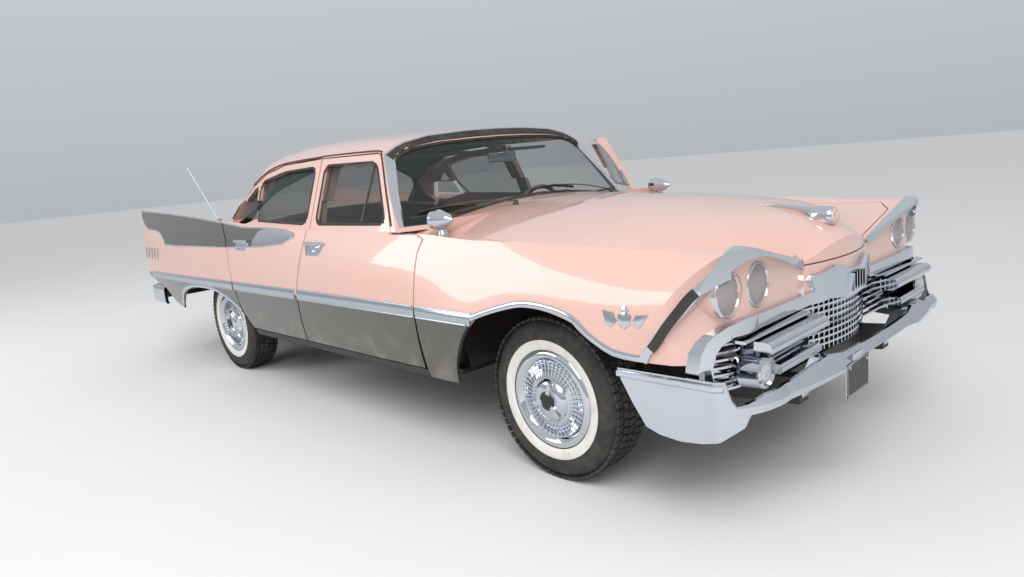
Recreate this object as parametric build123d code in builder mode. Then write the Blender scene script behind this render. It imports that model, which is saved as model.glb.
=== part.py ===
# Four-door sedan of the late 1950s with tail fins, built as separate body panels on a frame.
# Millimetres. +X forward, +Y left, +Z up. The origin is on the ground, on the centre plane,
# midway between the axles.
from build123d import *
from collections import namedtuple
from math import atan2, cos, radians, sin, tan
import os

os.makedirs("parts", exist_ok=True)

# Driving dimensions
wheelbase = 3099
front_track = 1547
rear_track = 1516
tyre_radius = 340
tyre_width = 196
rim_radius = 190
body_width = 2030
sill_z = 360
belt_z = 1020
front_door_angle = 42

# Wall thicknesses and gaps
skin = 22
door_thickness = 92
roof_wall = 44
frame_wall = 28
sill_depth = 36
floor_thickness = 24
glass_thickness = 5
panel_gap = 6
hinge_gap = 8
latch_gap = 11
roof_gap = 10

front_axle = wheelbase / 2
rear_axle = -wheelbase / 2
half_width = body_width / 2


def fore(distance):
    """x of a point this far ahead of the front axle."""
    return front_axle + distance


def aft(distance):
    """x of a point this far behind the rear axle."""
    return rear_axle - distance


# Cross-sections of the lower body. The widest line, the fender crest and the valley beside
# the hood or deck are half widths and heights, and crown is the height on the centre plane.
# Bulge is how far the shoulder between the widest line and the crest stands out.
Section = namedtuple("Section", "x sill_in wide_in crest_y crest_z valley_y valley_z crown_z bulge")
body_sections = [
    Section(fore(885), 150, 95, 742, 940, 255, 800, 862, 80),
    Section(fore(780), 115, 75, 770, 958, 300, 838, 934, 84),
    Section(fore(600), 90, 45, 818, 958, 570, 898, 1000, 56),
    Section(fore(320), 78, 25, 864, 967, 790, 942, 1044, 30),
    Section(fore(-50), 68, 12, 886, 981, 812, 958, 1072, 17),
    Section(fore(-600), 56, 4, 900, 1003, 822, 984, 1095, 14),
    Section(-150, 53, 0, 914, belt_z + 2, 835, 1000, 1090, 14),
    Section(aft(-500), 55, 3, 926, belt_z + 42, 846, 1010, 1078, 14),
    Section(aft(250), 62, 8, 916, belt_z + 78, 800, 1012, 1062, 14),
    Section(aft(850), 85, 28, 902, belt_z + 118, 772, 990, 1034, 14),
    Section(aft(1400), 130, 72, 888, belt_z + 142, 752, 930, 958, 14),
]
widest_z = 680

# Cross-sections of the greenhouse: rail is the roof's edge over the doors.
Roof = namedtuple("Roof", "x base_y rail_y rail_z crown_z")
roof_sections = [
    Roof(900, 925, 742, 1352, 1412),
    Roof(300, 932, 738, 1396, 1492),
    Roof(-250, 935, 736, 1408, 1514),
    Roof(-750, 932, 728, 1398, 1508),
    Roof(-1250, 925, 706, 1345, 1430),
    Roof(-1850, 910, 680, 1250, 1290),
]
# The roof's shoulder, as a share of its half width and of its rise over the rail
shoulder_reach = 0.705
shoulder_drop = 0.265
greenhouse_base_z = 930
screen_x = 858
screen_z = 1000
screen_rake = (-300, 360)
screen_radius = 2000
back_x = -1690
back_z = 1000
back_rake = (450, 310)
back_radius = 1100


def lower_body(side, top, raise_bottom):
    """Solid of the lower body, drawn in by side and top, with its bottom raised."""
    with BuildPart() as form:
        for s in body_sections:
            sill_y = half_width - s.sill_in - side
            wide_y = half_width - s.wide_in - side
            crest = (s.crest_y - side, s.crest_z - top)
            valley = (s.valley_y - side, s.valley_z - top)
            bottom = sill_z + raise_bottom
            low_mid = ((sill_y + wide_y) / 2 + 10, (bottom + widest_z) / 2)
            high_mid = ((wide_y + crest[0]) / 2 + s.bulge, (widest_z + crest[1]) / 2 + 0.6 * (s.bulge - 14))
            with BuildSketch(Plane.YZ.offset(s.x)):
                with BuildLine():
                    Line((-sill_y, bottom), (sill_y, bottom))
                    ThreePointArc((sill_y, bottom), low_mid, (wide_y, widest_z))
                    ThreePointArc((wide_y, widest_z), high_mid, crest)
                    Line(crest, valley)
                    ThreePointArc(valley, (0, s.crown_z - top), (-valley[0], valley[1]))
                    Line((-valley[0], valley[1]), (-crest[0], crest[1]))
                    ThreePointArc((-crest[0], crest[1]), (-high_mid[0], high_mid[1]), (-wide_y, widest_z))
                    ThreePointArc((-wide_y, widest_z), (-low_mid[0], low_mid[1]), (-sill_y, bottom))
                make_face()
        loft()
    return form.part


def curved_end(x, z, rake, radius, facing):
    """Everything behind a raked cylinder: facing 1 for the windshield, -1 for the back glass."""
    reach = half_width + 100
    sag = reach ** 2 / (2 * radius)
    lean = Vector(rake[0], 0, rake[1]).normalized()
    with BuildPart() as form:
        with BuildSketch(Plane.XY.offset(z - 200)):
            shift = x - 200 * rake[0] / rake[1]
            with BuildLine():
                ThreePointArc((shift - facing * sag, -reach), (shift, 0), (shift - facing * sag, reach))
                Polyline(
                    (shift - facing * sag, reach),
                    (shift - facing * 4500, reach),
                    (shift - facing * 4500, -reach),
                    (shift - facing * sag, -reach),
                )
            make_face()
        extrude(amount=2200, dir=lean)
    return form.part


def bend_middle(start, end, slope):
    """Middle of the arc from start to end that leaves start falling at this slope in radians."""
    run = end[0] - start[0]
    drop = start[1] - end[1]
    bow = tan((atan2(drop, run) - slope) / 2) / 2
    return ((start[0] + end[0]) / 2 + bow * drop, (start[1] + end[1]) / 2 + bow * run)


def greenhouse(side, top, ends):
    """Solid of the cabin above the belt, drawn in by side, top and at both glasses by ends."""
    with BuildPart() as form:
        for s in roof_sections:
            base = (s.base_y - side, greenhouse_base_z)
            rail = (s.rail_y - side, s.rail_z - top)
            crown = (0, s.crown_z - top)
            fall = shoulder_drop * (crown[1] - rail[1])
            shoulder = (shoulder_reach * rail[0], crown[1] - fall)
            bend = bend_middle(shoulder, rail, 2 * atan2(fall, shoulder[0]))
            with BuildSketch(Plane.YZ.offset(s.x)):
                with BuildLine():
                    Line((-base[0], base[1]), base)
                    Line(base, rail)
                    ThreePointArc(rail, bend, shoulder)
                    ThreePointArc(shoulder, crown, (-shoulder[0], shoulder[1]))
                    ThreePointArc((-shoulder[0], shoulder[1]), (-bend[0], bend[1]), (-rail[0], rail[1]))
                    Line((-rail[0], rail[1]), (-base[0], base[1]))
                make_face()
        loft()
        add(curved_end(screen_x - ends, screen_z, screen_rake, screen_radius, 1), mode=Mode.INTERSECT)
        add(curved_end(back_x + ends * 1.6, back_z, back_rake, back_radius, -1), mode=Mode.INTERSECT)
    return form.part


def across(points, y_from, y_to):
    """Prism of a side-view outline, from y_from to y_to."""
    with BuildPart() as form:
        with BuildSketch(Plane.XZ.offset(-y_from)):
            with BuildLine():
                Polyline(*points, close=True)
            make_face()
        extrude(amount=y_from - y_to)
    return form.part


def plan_prism(points, z_from, z_to):
    """Prism of a plan outline, between two heights."""
    with BuildPart() as form:
        with BuildSketch(Plane.XY.offset(z_from)):
            with BuildLine():
                Polyline(*points, close=True)
            make_face()
        extrude(amount=z_to - z_from)
    return form.part


def front_prism(points, x_from, x_to):
    """Prism of an outline seen from the front, between two values of x."""
    with BuildPart() as form:
        with BuildSketch(Plane.YZ.offset(x_from)):
            with BuildLine():
                Polyline(*points, close=True)
            make_face()
        extrude(amount=x_to - x_from)
    return form.part


def nose_plan(inset, z_from, z_to):
    """Prism behind the rounded front face, drawn back by inset."""
    corner_x = fore(545) - inset
    corner_y = half_width - 30 - inset
    clear_y = half_width + 60
    with BuildPart() as form:
        with BuildSketch(Plane.XY.offset(z_from)):
            with BuildLine():
                for side in (1, -1):
                    Line((-4000, side * clear_y), (corner_x - 200, side * clear_y))
                    Line((corner_x - 200, side * clear_y), (corner_x, side * corner_y))
                    ThreePointArc(
                        (corner_x, side * corner_y),
                        (fore(720) - inset, side * (912 - inset)),
                        (fore(796) - inset, side * 700),
                    )
                    Line((fore(796) - inset, side * 700), (fore(786) - inset, side * 292))
                ThreePointArc(
                    (fore(786) - inset, -292), (fore(838) - inset, 0), (fore(786) - inset, 292)
                )
                Line((-4000, -clear_y), (-4000, clear_y))
            make_face()
        extrude(amount=z_to - z_from)
    return form.part


def mirrored(solid, plane=Plane.XZ):
    """The same solid on the other side of the centre plane."""
    return mirror(solid, about=plane)


def largest(part):
    """The main solid of a part, without the slivers that a cut leaves beside it."""
    return part.solids().sort_by(SortBy.VOLUME)[-1]


def save(solid, name):
    """Label one piece and write it."""
    solid.label = name
    export_step(solid, f"parts/{name}.step")


# The tail leans back from the bumper to the tips of the fins
tail_outline = [
    (aft(1225), 250),
    (aft(1262), 900),
    (aft(1392), belt_z + 150),
    (aft(1392), 1700),
    (3000, 1700),
    (3000, 250),
]

with BuildPart() as lower_outer:
    add(lower_body(0, 0, 0))
    add(nose_plan(0, 200, 1300), mode=Mode.INTERSECT)
    add(across(tail_outline, -1200, 1200), mode=Mode.INTERSECT)

with BuildPart() as body_outer:
    add(lower_outer.part)
    add(greenhouse(0, 0, 0))

with BuildPart() as body_inner:
    add(lower_body(skin, skin, -60))
    add(nose_plan(skin, 200, 1300), mode=Mode.INTERSECT)
    add(across([(x + (skin if x < 0 else 0), z) for x, z in tail_outline], -1200, 1200), mode=Mode.INTERSECT)

with BuildPart() as door_inner:
    add(lower_body(door_thickness, -150, -60))
    add(greenhouse(frame_wall, frame_wall, 40))

with BuildPart() as body_skin:
    add(lower_outer.part)
    add(body_inner.part, mode=Mode.SUBTRACT)

with BuildPart() as door_wall:
    add(body_outer.part)
    add(door_inner.part, mode=Mode.SUBTRACT)


# Side outlines of the doors, x and z, from the foot of the front edge and round by the roof
door_foot = sill_z + 42
front_edge = front_axle - 660
b_foot = -205
b_belt = -150
b_roof = -185
roof_gap_z = 1396
front_door_outline = [
    (front_edge - 12, door_foot),
    (front_edge, 690),
    (front_edge - 22, 930),
    (front_edge - 8, 986),
    (front_edge - 60, 1002),
    (616, 1004),
    (398, 1374),
    (365, 1388),
    (b_roof, roof_gap_z),
    (b_belt, 1000),
    (b_foot, door_foot),
]
rear_door_outline = [
    (b_foot - latch_gap, door_foot),
    (b_belt - latch_gap, 1000),
    (b_roof - latch_gap - 3, roof_gap_z),
    (-640, 1384),
    (-880, 1345),
    (-1040, 1275),
    (-1160, 1185),
    (-1245, 1068),
    (-1200, 1010),
    (-1150, 960),
    (-1095, 840),
    (-1010, 640),
    (-985, 520),
    (-895, door_foot),
]
front_window = [(548, 1052), (366, 1345), (-134, 1354), (-104, 1052)]
rear_window = [(-214, 1052), (-244, 1352), (-620, 1342), (-930, 1296), (-868, 1072)]
quarter_light = [(-918, 1078), (-972, 1278), (-1090, 1196), (-1168, 1090)]
frame_inner_y = 668
swing_y = half_width - 8
front_hinge_x = front_edge - 18
rear_hinge_x = b_belt - latch_gap - 36


def grown(points, amount):
    """A side-view outline made larger all round by amount."""
    with BuildSketch(Plane.XY) as flat:
        with BuildLine():
            Polyline(*points, close=True)
        make_face()
        offset(amount=amount, kind=Kind.INTERSECTION)
    rim = flat.sketch.faces()[0].outer_wire().order_edges()
    return [(edge.position_at(0).X, edge.position_at(0).Y) for edge in rim]


def door(outline, windows, hinge_x):
    """One left-hand door with its window frame, closed."""
    with BuildPart() as leaf:
        add(across(outline, frame_inner_y, 1200))
        add(door_wall.part, mode=Mode.INTERSECT)
        for window in windows:
            add(across(window, 300, 1200), mode=Mode.SUBTRACT)
    return leaf.part


def side_glass(windows):
    """The panes of one left-hand door."""
    with BuildPart() as holes:
        for window in windows:
            add(across(window, 300, 1200))
    with BuildPart() as panes:
        add(glass_layer.part)
        add(holes.part, mode=Mode.INTERSECT)
    return panes.part


def hung(solid, hinge_x, side, angle):
    """A piece of a door turned open about its hinges, on the left or the right side."""
    turned = solid.rotate(Axis((hinge_x, swing_y, 0), (0, 0, 1)), -angle)
    return turned if side > 0 else mirrored(turned)


glass_depth = 12
with BuildPart() as glass_layer:
    add(greenhouse(glass_depth, glass_depth, glass_depth))
    add(greenhouse(*[glass_depth + glass_thickness] * 3), mode=Mode.SUBTRACT)

# Openings of the windshield, seen from the front, and of the back glass, seen from above
screen_half = [
    (846, 1030), (815, 1110), (779, 1204), (737, 1302), (708, 1348), (668, 1380), (598, 1408), (420, 1426),
    (200, 1433), (0, 1435),
]
screen_opening = screen_half + [(-y, z) for y, z in screen_half[-2::-1]]
back_opening = [
    (back_x - 30, -560),
    (back_x + 110, -735),
    (back_x + 430, -668),
    (back_x + 540, -560),
    (back_x + 612, -300),
    (back_x + 640, 0),
    (back_x + 612, 300),
    (back_x + 540, 560),
    (back_x + 430, 668),
    (back_x + 110, 735),
    (back_x - 30, 560),
    (back_x - 60, 0),
]

doors_hole_front = grown(front_door_outline, panel_gap)
doors_hole_rear = grown(rear_door_outline, roof_gap)

# Post inside the doors, from the sill to the roof, with a shelf at the belt
post_gap = 11
post_depth = 34
post_foot_z = sill_z + floor_thickness
post_side = [
    (-255, post_foot_z),
    (-85, post_foot_z),
    (-112, 930),
    (-112, 1030),
    (-154, 1470),
    (-239, 1470),
    (-206, 1030),
    (-225, 930),
]
shelf_z = (940, 975)
belt_slab = [(-600, -1100), (400, -1100), (400, 1100), (-600, 1100)]
post_head = [(-236, 540), (-150, 540), (-150, 618), (-236, 618)]
with BuildPart() as post_outer:
    add(greenhouse(frame_wall + post_gap, frame_wall + post_gap, 0))
    add(plan_prism(belt_slab, 900, shelf_z[0]), mode=Mode.SUBTRACT)
    add(lower_body(door_thickness + post_gap, post_gap - 150, 0))
with BuildPart() as post_inner:
    add(greenhouse(*[frame_wall + post_gap + post_depth] * 2, 0))
    add(plan_prism(belt_slab, 900, shelf_z[1]), mode=Mode.SUBTRACT)
    add(lower_body(door_thickness + post_gap + post_depth, -150, -40))
with BuildPart() as post:
    add(across(post_side, 540, 1200))
    add(post_outer.part, mode=Mode.INTERSECT)
    add(post_inner.part, mode=Mode.SUBTRACT)
    add(plan_prism(post_head, 1412, 1453))

with BuildPart() as roof_and_pillars:
    add(greenhouse(0, 0, 0))
    add(greenhouse(roof_wall, roof_wall - 8, 60), mode=Mode.SUBTRACT)
    add(lower_outer.part, mode=Mode.SUBTRACT)
    for y_from, y_to in ((frame_inner_y - 40, 1200), (-1200, 40 - frame_inner_y)):
        add(across(doors_hole_front, y_from, y_to), mode=Mode.SUBTRACT)
        add(across(doors_hole_rear, y_from, y_to), mode=Mode.SUBTRACT)
    add(front_prism(screen_opening, 250, 1100), mode=Mode.SUBTRACT)
    add(plan_prism(back_opening, 1000, 1500), mode=Mode.SUBTRACT)
    add(post.part)
    add(mirrored(post.part))
save(roof_and_pillars.part, "roof_and_pillars")

with BuildPart() as windshield:
    add(glass_layer.part)
    add(front_prism(screen_opening, 250, 1100), mode=Mode.INTERSECT)
    add(lower_outer.part, mode=Mode.SUBTRACT)
save(windshield.part, "windshield")

with BuildPart() as rear_window_pane:
    add(glass_layer.part)
    add(plan_prism(back_opening, 1000, 1500), mode=Mode.INTERSECT)
    add(lower_outer.part, mode=Mode.SUBTRACT)
save(rear_window_pane.part, "rear_window")

front_door = door(front_door_outline, [front_window], front_hinge_x)
rear_door = door(rear_door_outline, [rear_window, quarter_light], rear_hinge_x)
front_pane = side_glass([front_window])
rear_panes = side_glass([rear_window, quarter_light])
for side, hand in ((1, "left"), (-1, "right")):
    opened = front_door_angle if side > 0 else 0
    save(hung(front_door, front_hinge_x, side, opened), f"door_front_{hand}")
    save(hung(rear_door, rear_hinge_x, side, 0), f"door_rear_{hand}")
    save(hung(front_pane, front_hinge_x, side, opened), f"door_glass_front_{hand}")
    save(hung(rear_panes, rear_hinge_x, side, 0), f"door_glass_rear_{hand}")

# Wheel arches, x measured from the axle
def arch(axle_x, outline):
    """Prism of one wheel arch: straight lines, or arcs where three points are given."""
    with BuildPart() as form:
        with BuildSketch(Plane.XZ.offset(1200)):
            with BuildLine():
                for run in outline:
                    moved = [(axle_x + x, z) for x, z in run]
                    if len(moved) == 3:
                        ThreePointArc(*moved)
                    else:
                        Line(*moved)
            make_face()
        extrude(amount=-2400)
    return form.part


front_arch = arch(front_axle, [
    [(-470, 250), (-457, 365)],
    [(-457, 365), (-392, 530), (-270, 670)],
    [(-270, 670), (10, 748), (262, 712)],
    [(262, 712), (350, 648), (425, 612)],
    [(425, 612), (548, 604)],
    [(548, 604), (548, 250)],
    [(548, 250), (-470, 250)],
])
rear_arch = arch(rear_axle, [
    [(680, 250), (655, 396)],
    [(655, 396), (520, 520), (270, 603)],
    [(270, 603), (0, 622), (-270, 603)],
    [(-270, 603), (-450, 540), (-560, 430)],
    [(-560, 430), (-565, 250)],
    [(-565, 250), (680, 250)],
])

hood_rear_x = fore(-645)
hood_front_x = fore(757)
lid_front_x = back_x - 32
lid_rear_x = aft(1262)
hood_plan = [
    (hood_rear_x, -814),
    (fore(-50), -806),
    (fore(400), -788),
    (fore(690), -742),
    (hood_front_x, -640),
    (hood_front_x, -296),
    (fore(900), -280),
    (fore(900), 280),
    (hood_front_x, 296),
    (hood_front_x, 640),
    (fore(690), 742),
    (fore(400), 788),
    (fore(-50), 806),
    (hood_rear_x, 814),
]
hood_hole = grown(hood_plan, panel_gap)
lid_plan = [(lid_front_x, -730), (lid_rear_x, -725), (lid_rear_x, 725), (lid_front_x, 730)]
lid_hole = grown(lid_plan, panel_gap)
cowl_y = 846
cowl_plan = [
    (600, -cowl_y),
    (hood_rear_x - panel_gap, -cowl_y),
    (hood_rear_x - panel_gap, cowl_y),
    (600, cowl_y),
]
shelf_front_x = -1185
shelf_plan = [
    (lid_front_x + panel_gap, -790),
    (shelf_front_x, -790),
    (shelf_front_x, 790),
    (lid_front_x + panel_gap, 790),
]

# The nose panel is what lies below the brows and above the mouth of the grille
brow_line = [(fore(548), 604), (fore(604), 690), (fore(676), 778), (fore(740), 846), (fore(790), 884),
              (fore(960), 884)]
nose_side = brow_line + [(fore(960), 560), (fore(548), 560)]
hood_lip_z = 822
nose_front = [
    (-1200, 884), (-900, 884), (-785, 908), (-600, 894), (-450, 862), (-288, hood_lip_z),
    (288, hood_lip_z), (450, 862), (600, 894), (785, 908), (900, 884), (1200, 884), (1200, 560), (-1200, 560),
]
mouth_y = 915
mouth_low_z = 470
mouth_top_z = 704

with BuildPart() as nose_region:
    add(across(nose_side, -1200, 1200))
    add(front_prism(nose_front, fore(400), fore(960)), mode=Mode.INTERSECT)


def wheelhouse(axle_x, inner_y, z_from):
    """Left-hand tub over a wheel, with its inner wall."""
    tub_radius = 430
    with BuildPart() as form:
        with BuildSketch(Plane.XZ.offset(-inner_y)):
            with Locations((axle_x, tyre_radius)):
                Circle(tub_radius + 6)
                Circle(tub_radius, mode=Mode.SUBTRACT)
        extrude(amount=-500)
        with BuildSketch(Plane.XZ.offset(-inner_y)):
            with Locations((axle_x, tyre_radius)):
                Circle(tub_radius + 3)
        extrude(amount=-6)
        add(across([(axle_x - 600, -300), (axle_x + 600, -300), (axle_x + 600, z_from),
                    (axle_x - 600, z_from)],
                   0, 1500), mode=Mode.SUBTRACT)
        add(body_outer.part, mode=Mode.INTERSECT)
    return form.part


lamp_z = 824
lamp_radius = 78
lamp_places = [(659, 780), (835, 770)]
with BuildPart() as headlamps:
    for side in (1, -1):
        for y, face_x in lamp_places:
            with BuildSketch(Plane.XY.offset(lamp_z)):
                with BuildLine():
                    Polyline(
                        (fore(face_x + 26), side * y),
                        (fore(face_x + 22), side * (y + 40)),
                        (fore(face_x + 10), side * (y + 64)),
                        (fore(face_x + 22), side * (y + 70)),
                        (fore(face_x + 18), side * (y + lamp_radius)),
                        (fore(face_x - 70), side * (y + lamp_radius)),
                        (fore(face_x - 90), side * (y + 40)),
                        (fore(face_x - 90), side * y),
                        close=True,
                    )
                make_face()
            revolve(axis=Axis((0, side * y, lamp_z), (1, 0, 0)))
save(headlamps.part, "headlamps")
with BuildPart() as lamp_holes:
    with BuildSketch(Plane.YZ.offset(fore(600))):
        with Locations(*[(side * y, lamp_z) for side in (1, -1) for y, face_x in lamp_places]):
            Circle(lamp_radius)
    extrude(amount=400)

tail_places = [(812, 872, 58), (812, 738, 58)]
with BuildPart() as tail_lamps:
    for side in (1, -1):
        for y, z, radius in tail_places:
            with BuildSketch(Plane.XY.offset(z)):
                with BuildLine():
                    Polyline(
                        (aft(1210), side * y),
                        (aft(1210), side * (y + radius)),
                        (aft(1300), side * (y + radius)),
                        (aft(1318), side * (y + radius - 14)),
                        (aft(1350), side * (y + 20)),
                        (aft(1352), side * y),
                        close=True,
                    )
                make_face()
            revolve(axis=Axis((0, side * y, z), (1, 0, 0)))
save(tail_lamps.part, "tail_lamps")

# Brows: chrome visors over the lamps that run down the fender's side to the arch
brow_plan = [
    (fore(400), -1075), (fore(545), -1031), (fore(766), -958), (fore(848), -755), (fore(842), -640),
    (fore(814), -450),
    (fore(792), -300), (fore(792), 300), (fore(814), 450), (fore(842), 640), (fore(848), 755),
    (fore(766), 958),
    (fore(545), 1031), (fore(400), 1075),
]
brow_back_x = fore(788)
brow_front = [
    (304, 810), (450, 860), (600, 906), (714, 930), (785, 930), (853, 900), (911, 874), (975, 848),
    (975, 1020), (304, 1020),
]
brow_side = [
    (fore(536), 612), (fore(585), 682), (fore(625), 731), (fore(674), 788), (fore(734), 856),
    (fore(772), 900),
    (fore(796), 940), (fore(860), 940), (fore(860), 892), (fore(804), 874), (fore(762), 840),
    (fore(704), 770),
    (fore(636), 696), (fore(582), 632), (fore(568), 604),
]
with BuildPart() as brow:
    add(across(brow_side, 850, 1200))
    add(front_prism(brow_front, brow_back_x, fore(870)))
    add(plan_prism(brow_plan, 500, 1100), mode=Mode.INTERSECT)
    add(lower_body(-12, -14, 0), mode=Mode.INTERSECT)
    add(lower_outer.part, mode=Mode.SUBTRACT)
    add(headlamps.part, mode=Mode.SUBTRACT)
with BuildPart() as headlamp_brows:
    add(largest(brow.part))
    add(mirrored(largest(brow.part)))
save(headlamp_brows.part, "headlamp_brows")

front_side = [
    (front_edge + hinge_gap, 300),
    (front_edge + hinge_gap, 690),
    (front_edge - 22 + hinge_gap, 930),
    (front_edge - 6 + hinge_gap, 986),
    (front_edge - 57, 1010),
    (front_edge - 90, 1200),
    (fore(960), 1200),
    (fore(960), 300),
]
with BuildPart() as front_fender:
    add(body_skin.part)
    add(across(front_side, 300, 1200), mode=Mode.INTERSECT)
    add(plan_prism(hood_hole, 780, 1300), mode=Mode.SUBTRACT)
    add(plan_prism(cowl_plan, 780, 1300), mode=Mode.SUBTRACT)
    add(nose_region.part, mode=Mode.SUBTRACT)
    add(across([(fore(548), 200), (fore(960), 200), (fore(960), 604), (fore(548), 604)], 0, 1200),
        mode=Mode.SUBTRACT)
    add(wheelhouse(front_axle, 455, 520))
    add(front_arch, mode=Mode.SUBTRACT)
    add(headlamps.part, mode=Mode.SUBTRACT)
save(largest(front_fender.part), "front_fender_left")
save(mirrored(largest(front_fender.part)), "front_fender_right")

quarter_side = [
    (-600, 300), (-600, 1300), (-3100, 1300), (-3100, 660), (aft(1225), 640),
    (aft(1000), 590), (aft(850), 560), (aft(700), 460), (aft(560), 425), (aft(560), 300),
]
with BuildPart() as quarter_panel:
    add(body_skin.part)
    add(across(quarter_side, 300, 1200), mode=Mode.INTERSECT)
    add(across(grown(rear_door_outline, latch_gap), 300, 1200), mode=Mode.SUBTRACT)
    add(across([(-500, 200), (-500, 1300), (-890, 1300), (-890, 200)], 0, 1200), mode=Mode.SUBTRACT)
    add(plan_prism(lid_hole, 780, 1300), mode=Mode.SUBTRACT)
    add(plan_prism(shelf_plan, 780, 1300), mode=Mode.SUBTRACT)
    add(wheelhouse(rear_axle, 610, 396))
    add(rear_arch, mode=Mode.SUBTRACT)
    add(front_prism([(-725, 200), (725, 200), (725, 1300), (-725, 1300)], -3100, aft(1225) + 40),
        mode=Mode.SUBTRACT)
    add(tail_lamps.part, mode=Mode.SUBTRACT)
save(largest(quarter_panel.part), "quarter_panel_left")
save(mirrored(largest(quarter_panel.part)), "quarter_panel_right")

with BuildPart() as nose_panel:
    add(body_skin.part)
    add(nose_region.part, mode=Mode.INTERSECT)
    add(across([(fore(500), 500), (fore(960), 500), (fore(960), 604), (fore(500), 604)], -1200, 1200),
        mode=Mode.SUBTRACT)
    add(front_prism([(-mouth_y, mouth_low_z), (mouth_y, mouth_low_z), (mouth_y, mouth_top_z - 40),
                     (mouth_y - 70, mouth_top_z), (70 - mouth_y, mouth_top_z),
                     (-mouth_y, mouth_top_z - 40)], fore(500), fore(960)), mode=Mode.SUBTRACT)
    add(plan_prism(hood_hole, hood_lip_z, 1300), mode=Mode.SUBTRACT)
    add(lamp_holes.part, mode=Mode.SUBTRACT)
save(nose_panel.part, "nose_panel")

ornament_z = 972
with BuildPart() as ornament:
    with BuildSketch(Plane.XY.offset(ornament_z)):
        with BuildLine():
            Polyline((fore(690), 0), (fore(706), 30), (fore(724), 37), (fore(764), 37), (fore(786), 30),
                     (fore(798), 12),
                     (fore(800), 0), close=True)
        make_face()
    revolve(axis=Axis((0, 0, ornament_z), (1, 0, 0)))
    with BuildSketch(Plane.YZ.offset(fore(500))):
        with Locations((0, 1012)):
            Circle(5)
    with BuildSketch(Plane.YZ.offset(fore(706))):
        with Locations((0, 988)):
            Circle(15)
    loft()
    add(lower_outer.part, mode=Mode.SUBTRACT)
with BuildPart() as hood:
    add(body_skin.part.intersect(plan_prism(hood_plan, hood_lip_z + panel_gap, 1300)))
    add(ornament.part)
save(hood.part, "hood")

with BuildPart() as trunk_lid:
    add(body_skin.part)
    add(plan_prism(lid_plan, 800, 1300), mode=Mode.INTERSECT)
save(trunk_lid.part, "trunk_lid")

# Cowl with the firewall, the toe board and the posts that carry the front doors
firewall = [
    (886, 1060), (898, 1060), (898, 640), (1020, 420), (1020, 384), (1008, 384), (1008, 416), (886, 634),
]
post_x = front_edge + hinge_gap
tunnel_radius = 150
hinge_post = [(post_x, 780), (post_x + 55, 780), (post_x + 55, 1100), (post_x, 1100)]
with BuildPart() as front_post:
    add(body_inner.part)
    add(plan_prism(hinge_post, sill_z + sill_depth, 1200), mode=Mode.INTERSECT)
with BuildPart() as cowl:
    add(body_skin.part)
    add(plan_prism(cowl_plan, 900, 1300), mode=Mode.INTERSECT)
    add(across(firewall, -812, 812))
    add(front_post.part)
    add(mirrored(front_post.part))
    with BuildSketch(Plane.YZ.offset(880)):
        with Locations((0, sill_z)):
            Circle(tunnel_radius)
    extrude(amount=160, mode=Mode.SUBTRACT)
save(cowl.part, "cowl")

bulkhead_front_x = -1330
bulkhead_side = [
    (bulkhead_front_x, 600),
    (bulkhead_front_x, 1060),
    (bulkhead_front_x - 10, 1060),
    (bulkhead_front_x - 10, 600),
]
with BuildPart() as rear_bulkhead:
    add(across(bulkhead_side, -600, 600))
    add(body_inner.part, mode=Mode.INTERSECT)
    add(body_skin.part.intersect(plan_prism(shelf_plan, 900, 1300)))
save(rear_bulkhead.part, "rear_bulkhead")

with BuildPart() as rear_panel:
    add(body_skin.part)
    add(front_prism([(-725, 430), (725, 430), (725, 794), (-725, 794)], -3100, aft(1225) + 40),
        mode=Mode.INTERSECT)
save(rear_panel.part, "rear_panel")

# Frame: two rails that rise over the rear axle, joined by cross members
rail_y = 405
rail_width = 70
rail_side = [
    (fore(830), 345), (fore(-500), 250), (-950, 250), (-1250, 430), (-1850, 430), (-2150, 330), (-2760, 330),
    (-2760, 430), (-2150, 430), (-1850, 540), (-1250, 540), (-950, sill_z), (fore(-420), sill_z),
    (fore(830), 445),
]
cross_members = [(fore(720), 350, 80), (900, 250, 40), (0, 250, 40), (-900, 250, 40), (-1950, 430, 60),
                 (-2660, 345, 60)]
with BuildPart() as chassis_frame:
    for side in (1, -1):
        inner = side * (rail_y - rail_width / 2)
        outer = side * (rail_y + rail_width / 2)
        add(across(rail_side, min(inner, outer), max(inner, outer)))
    for x, z, depth in cross_members:
        with BuildSketch(Plane.XZ.offset(rail_y)):
            with Locations((x, z + depth / 2)):
                Rectangle(60, depth)
        extrude(amount=-2 * rail_y)
save(chassis_frame.part, "chassis_frame")

# Floor: pan with sills and tunnel, heel board and boot floor
boot_floor_z = 600
heel_x = -1090
with BuildPart() as sill_form:
    add(lower_body(2, 0, 0))
    add(plan_prism([(-884, 880), (889, 880), (889, 1100), (-884, 1100)], sill_z, sill_z + sill_depth),
        mode=Mode.INTERSECT)
with BuildPart() as boot_sides:
    add(body_inner.part)
    add(plan_prism([(-2560, -1100), (-1992, -1100), (-1992, 1100), (-2560, 1100)], boot_floor_z - 20,
                   boot_floor_z),
        mode=Mode.INTERSECT)
pan_plan = [
    (-884, -1100), (889, -1100), (889, -860), (1008, -860), (1008, 860), (889, 860), (889, 1100), (-884, 1100),
]
heel = [
    (-880, sill_z),
    (heel_x - 12, sill_z),
    (heel_x - 12, boot_floor_z - 20),
    (-2770, boot_floor_z - 20),
    (-2770, boot_floor_z),
    (heel_x, boot_floor_z),
    (heel_x, sill_z + floor_thickness),
    (-880, sill_z + floor_thickness),
]
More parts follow.
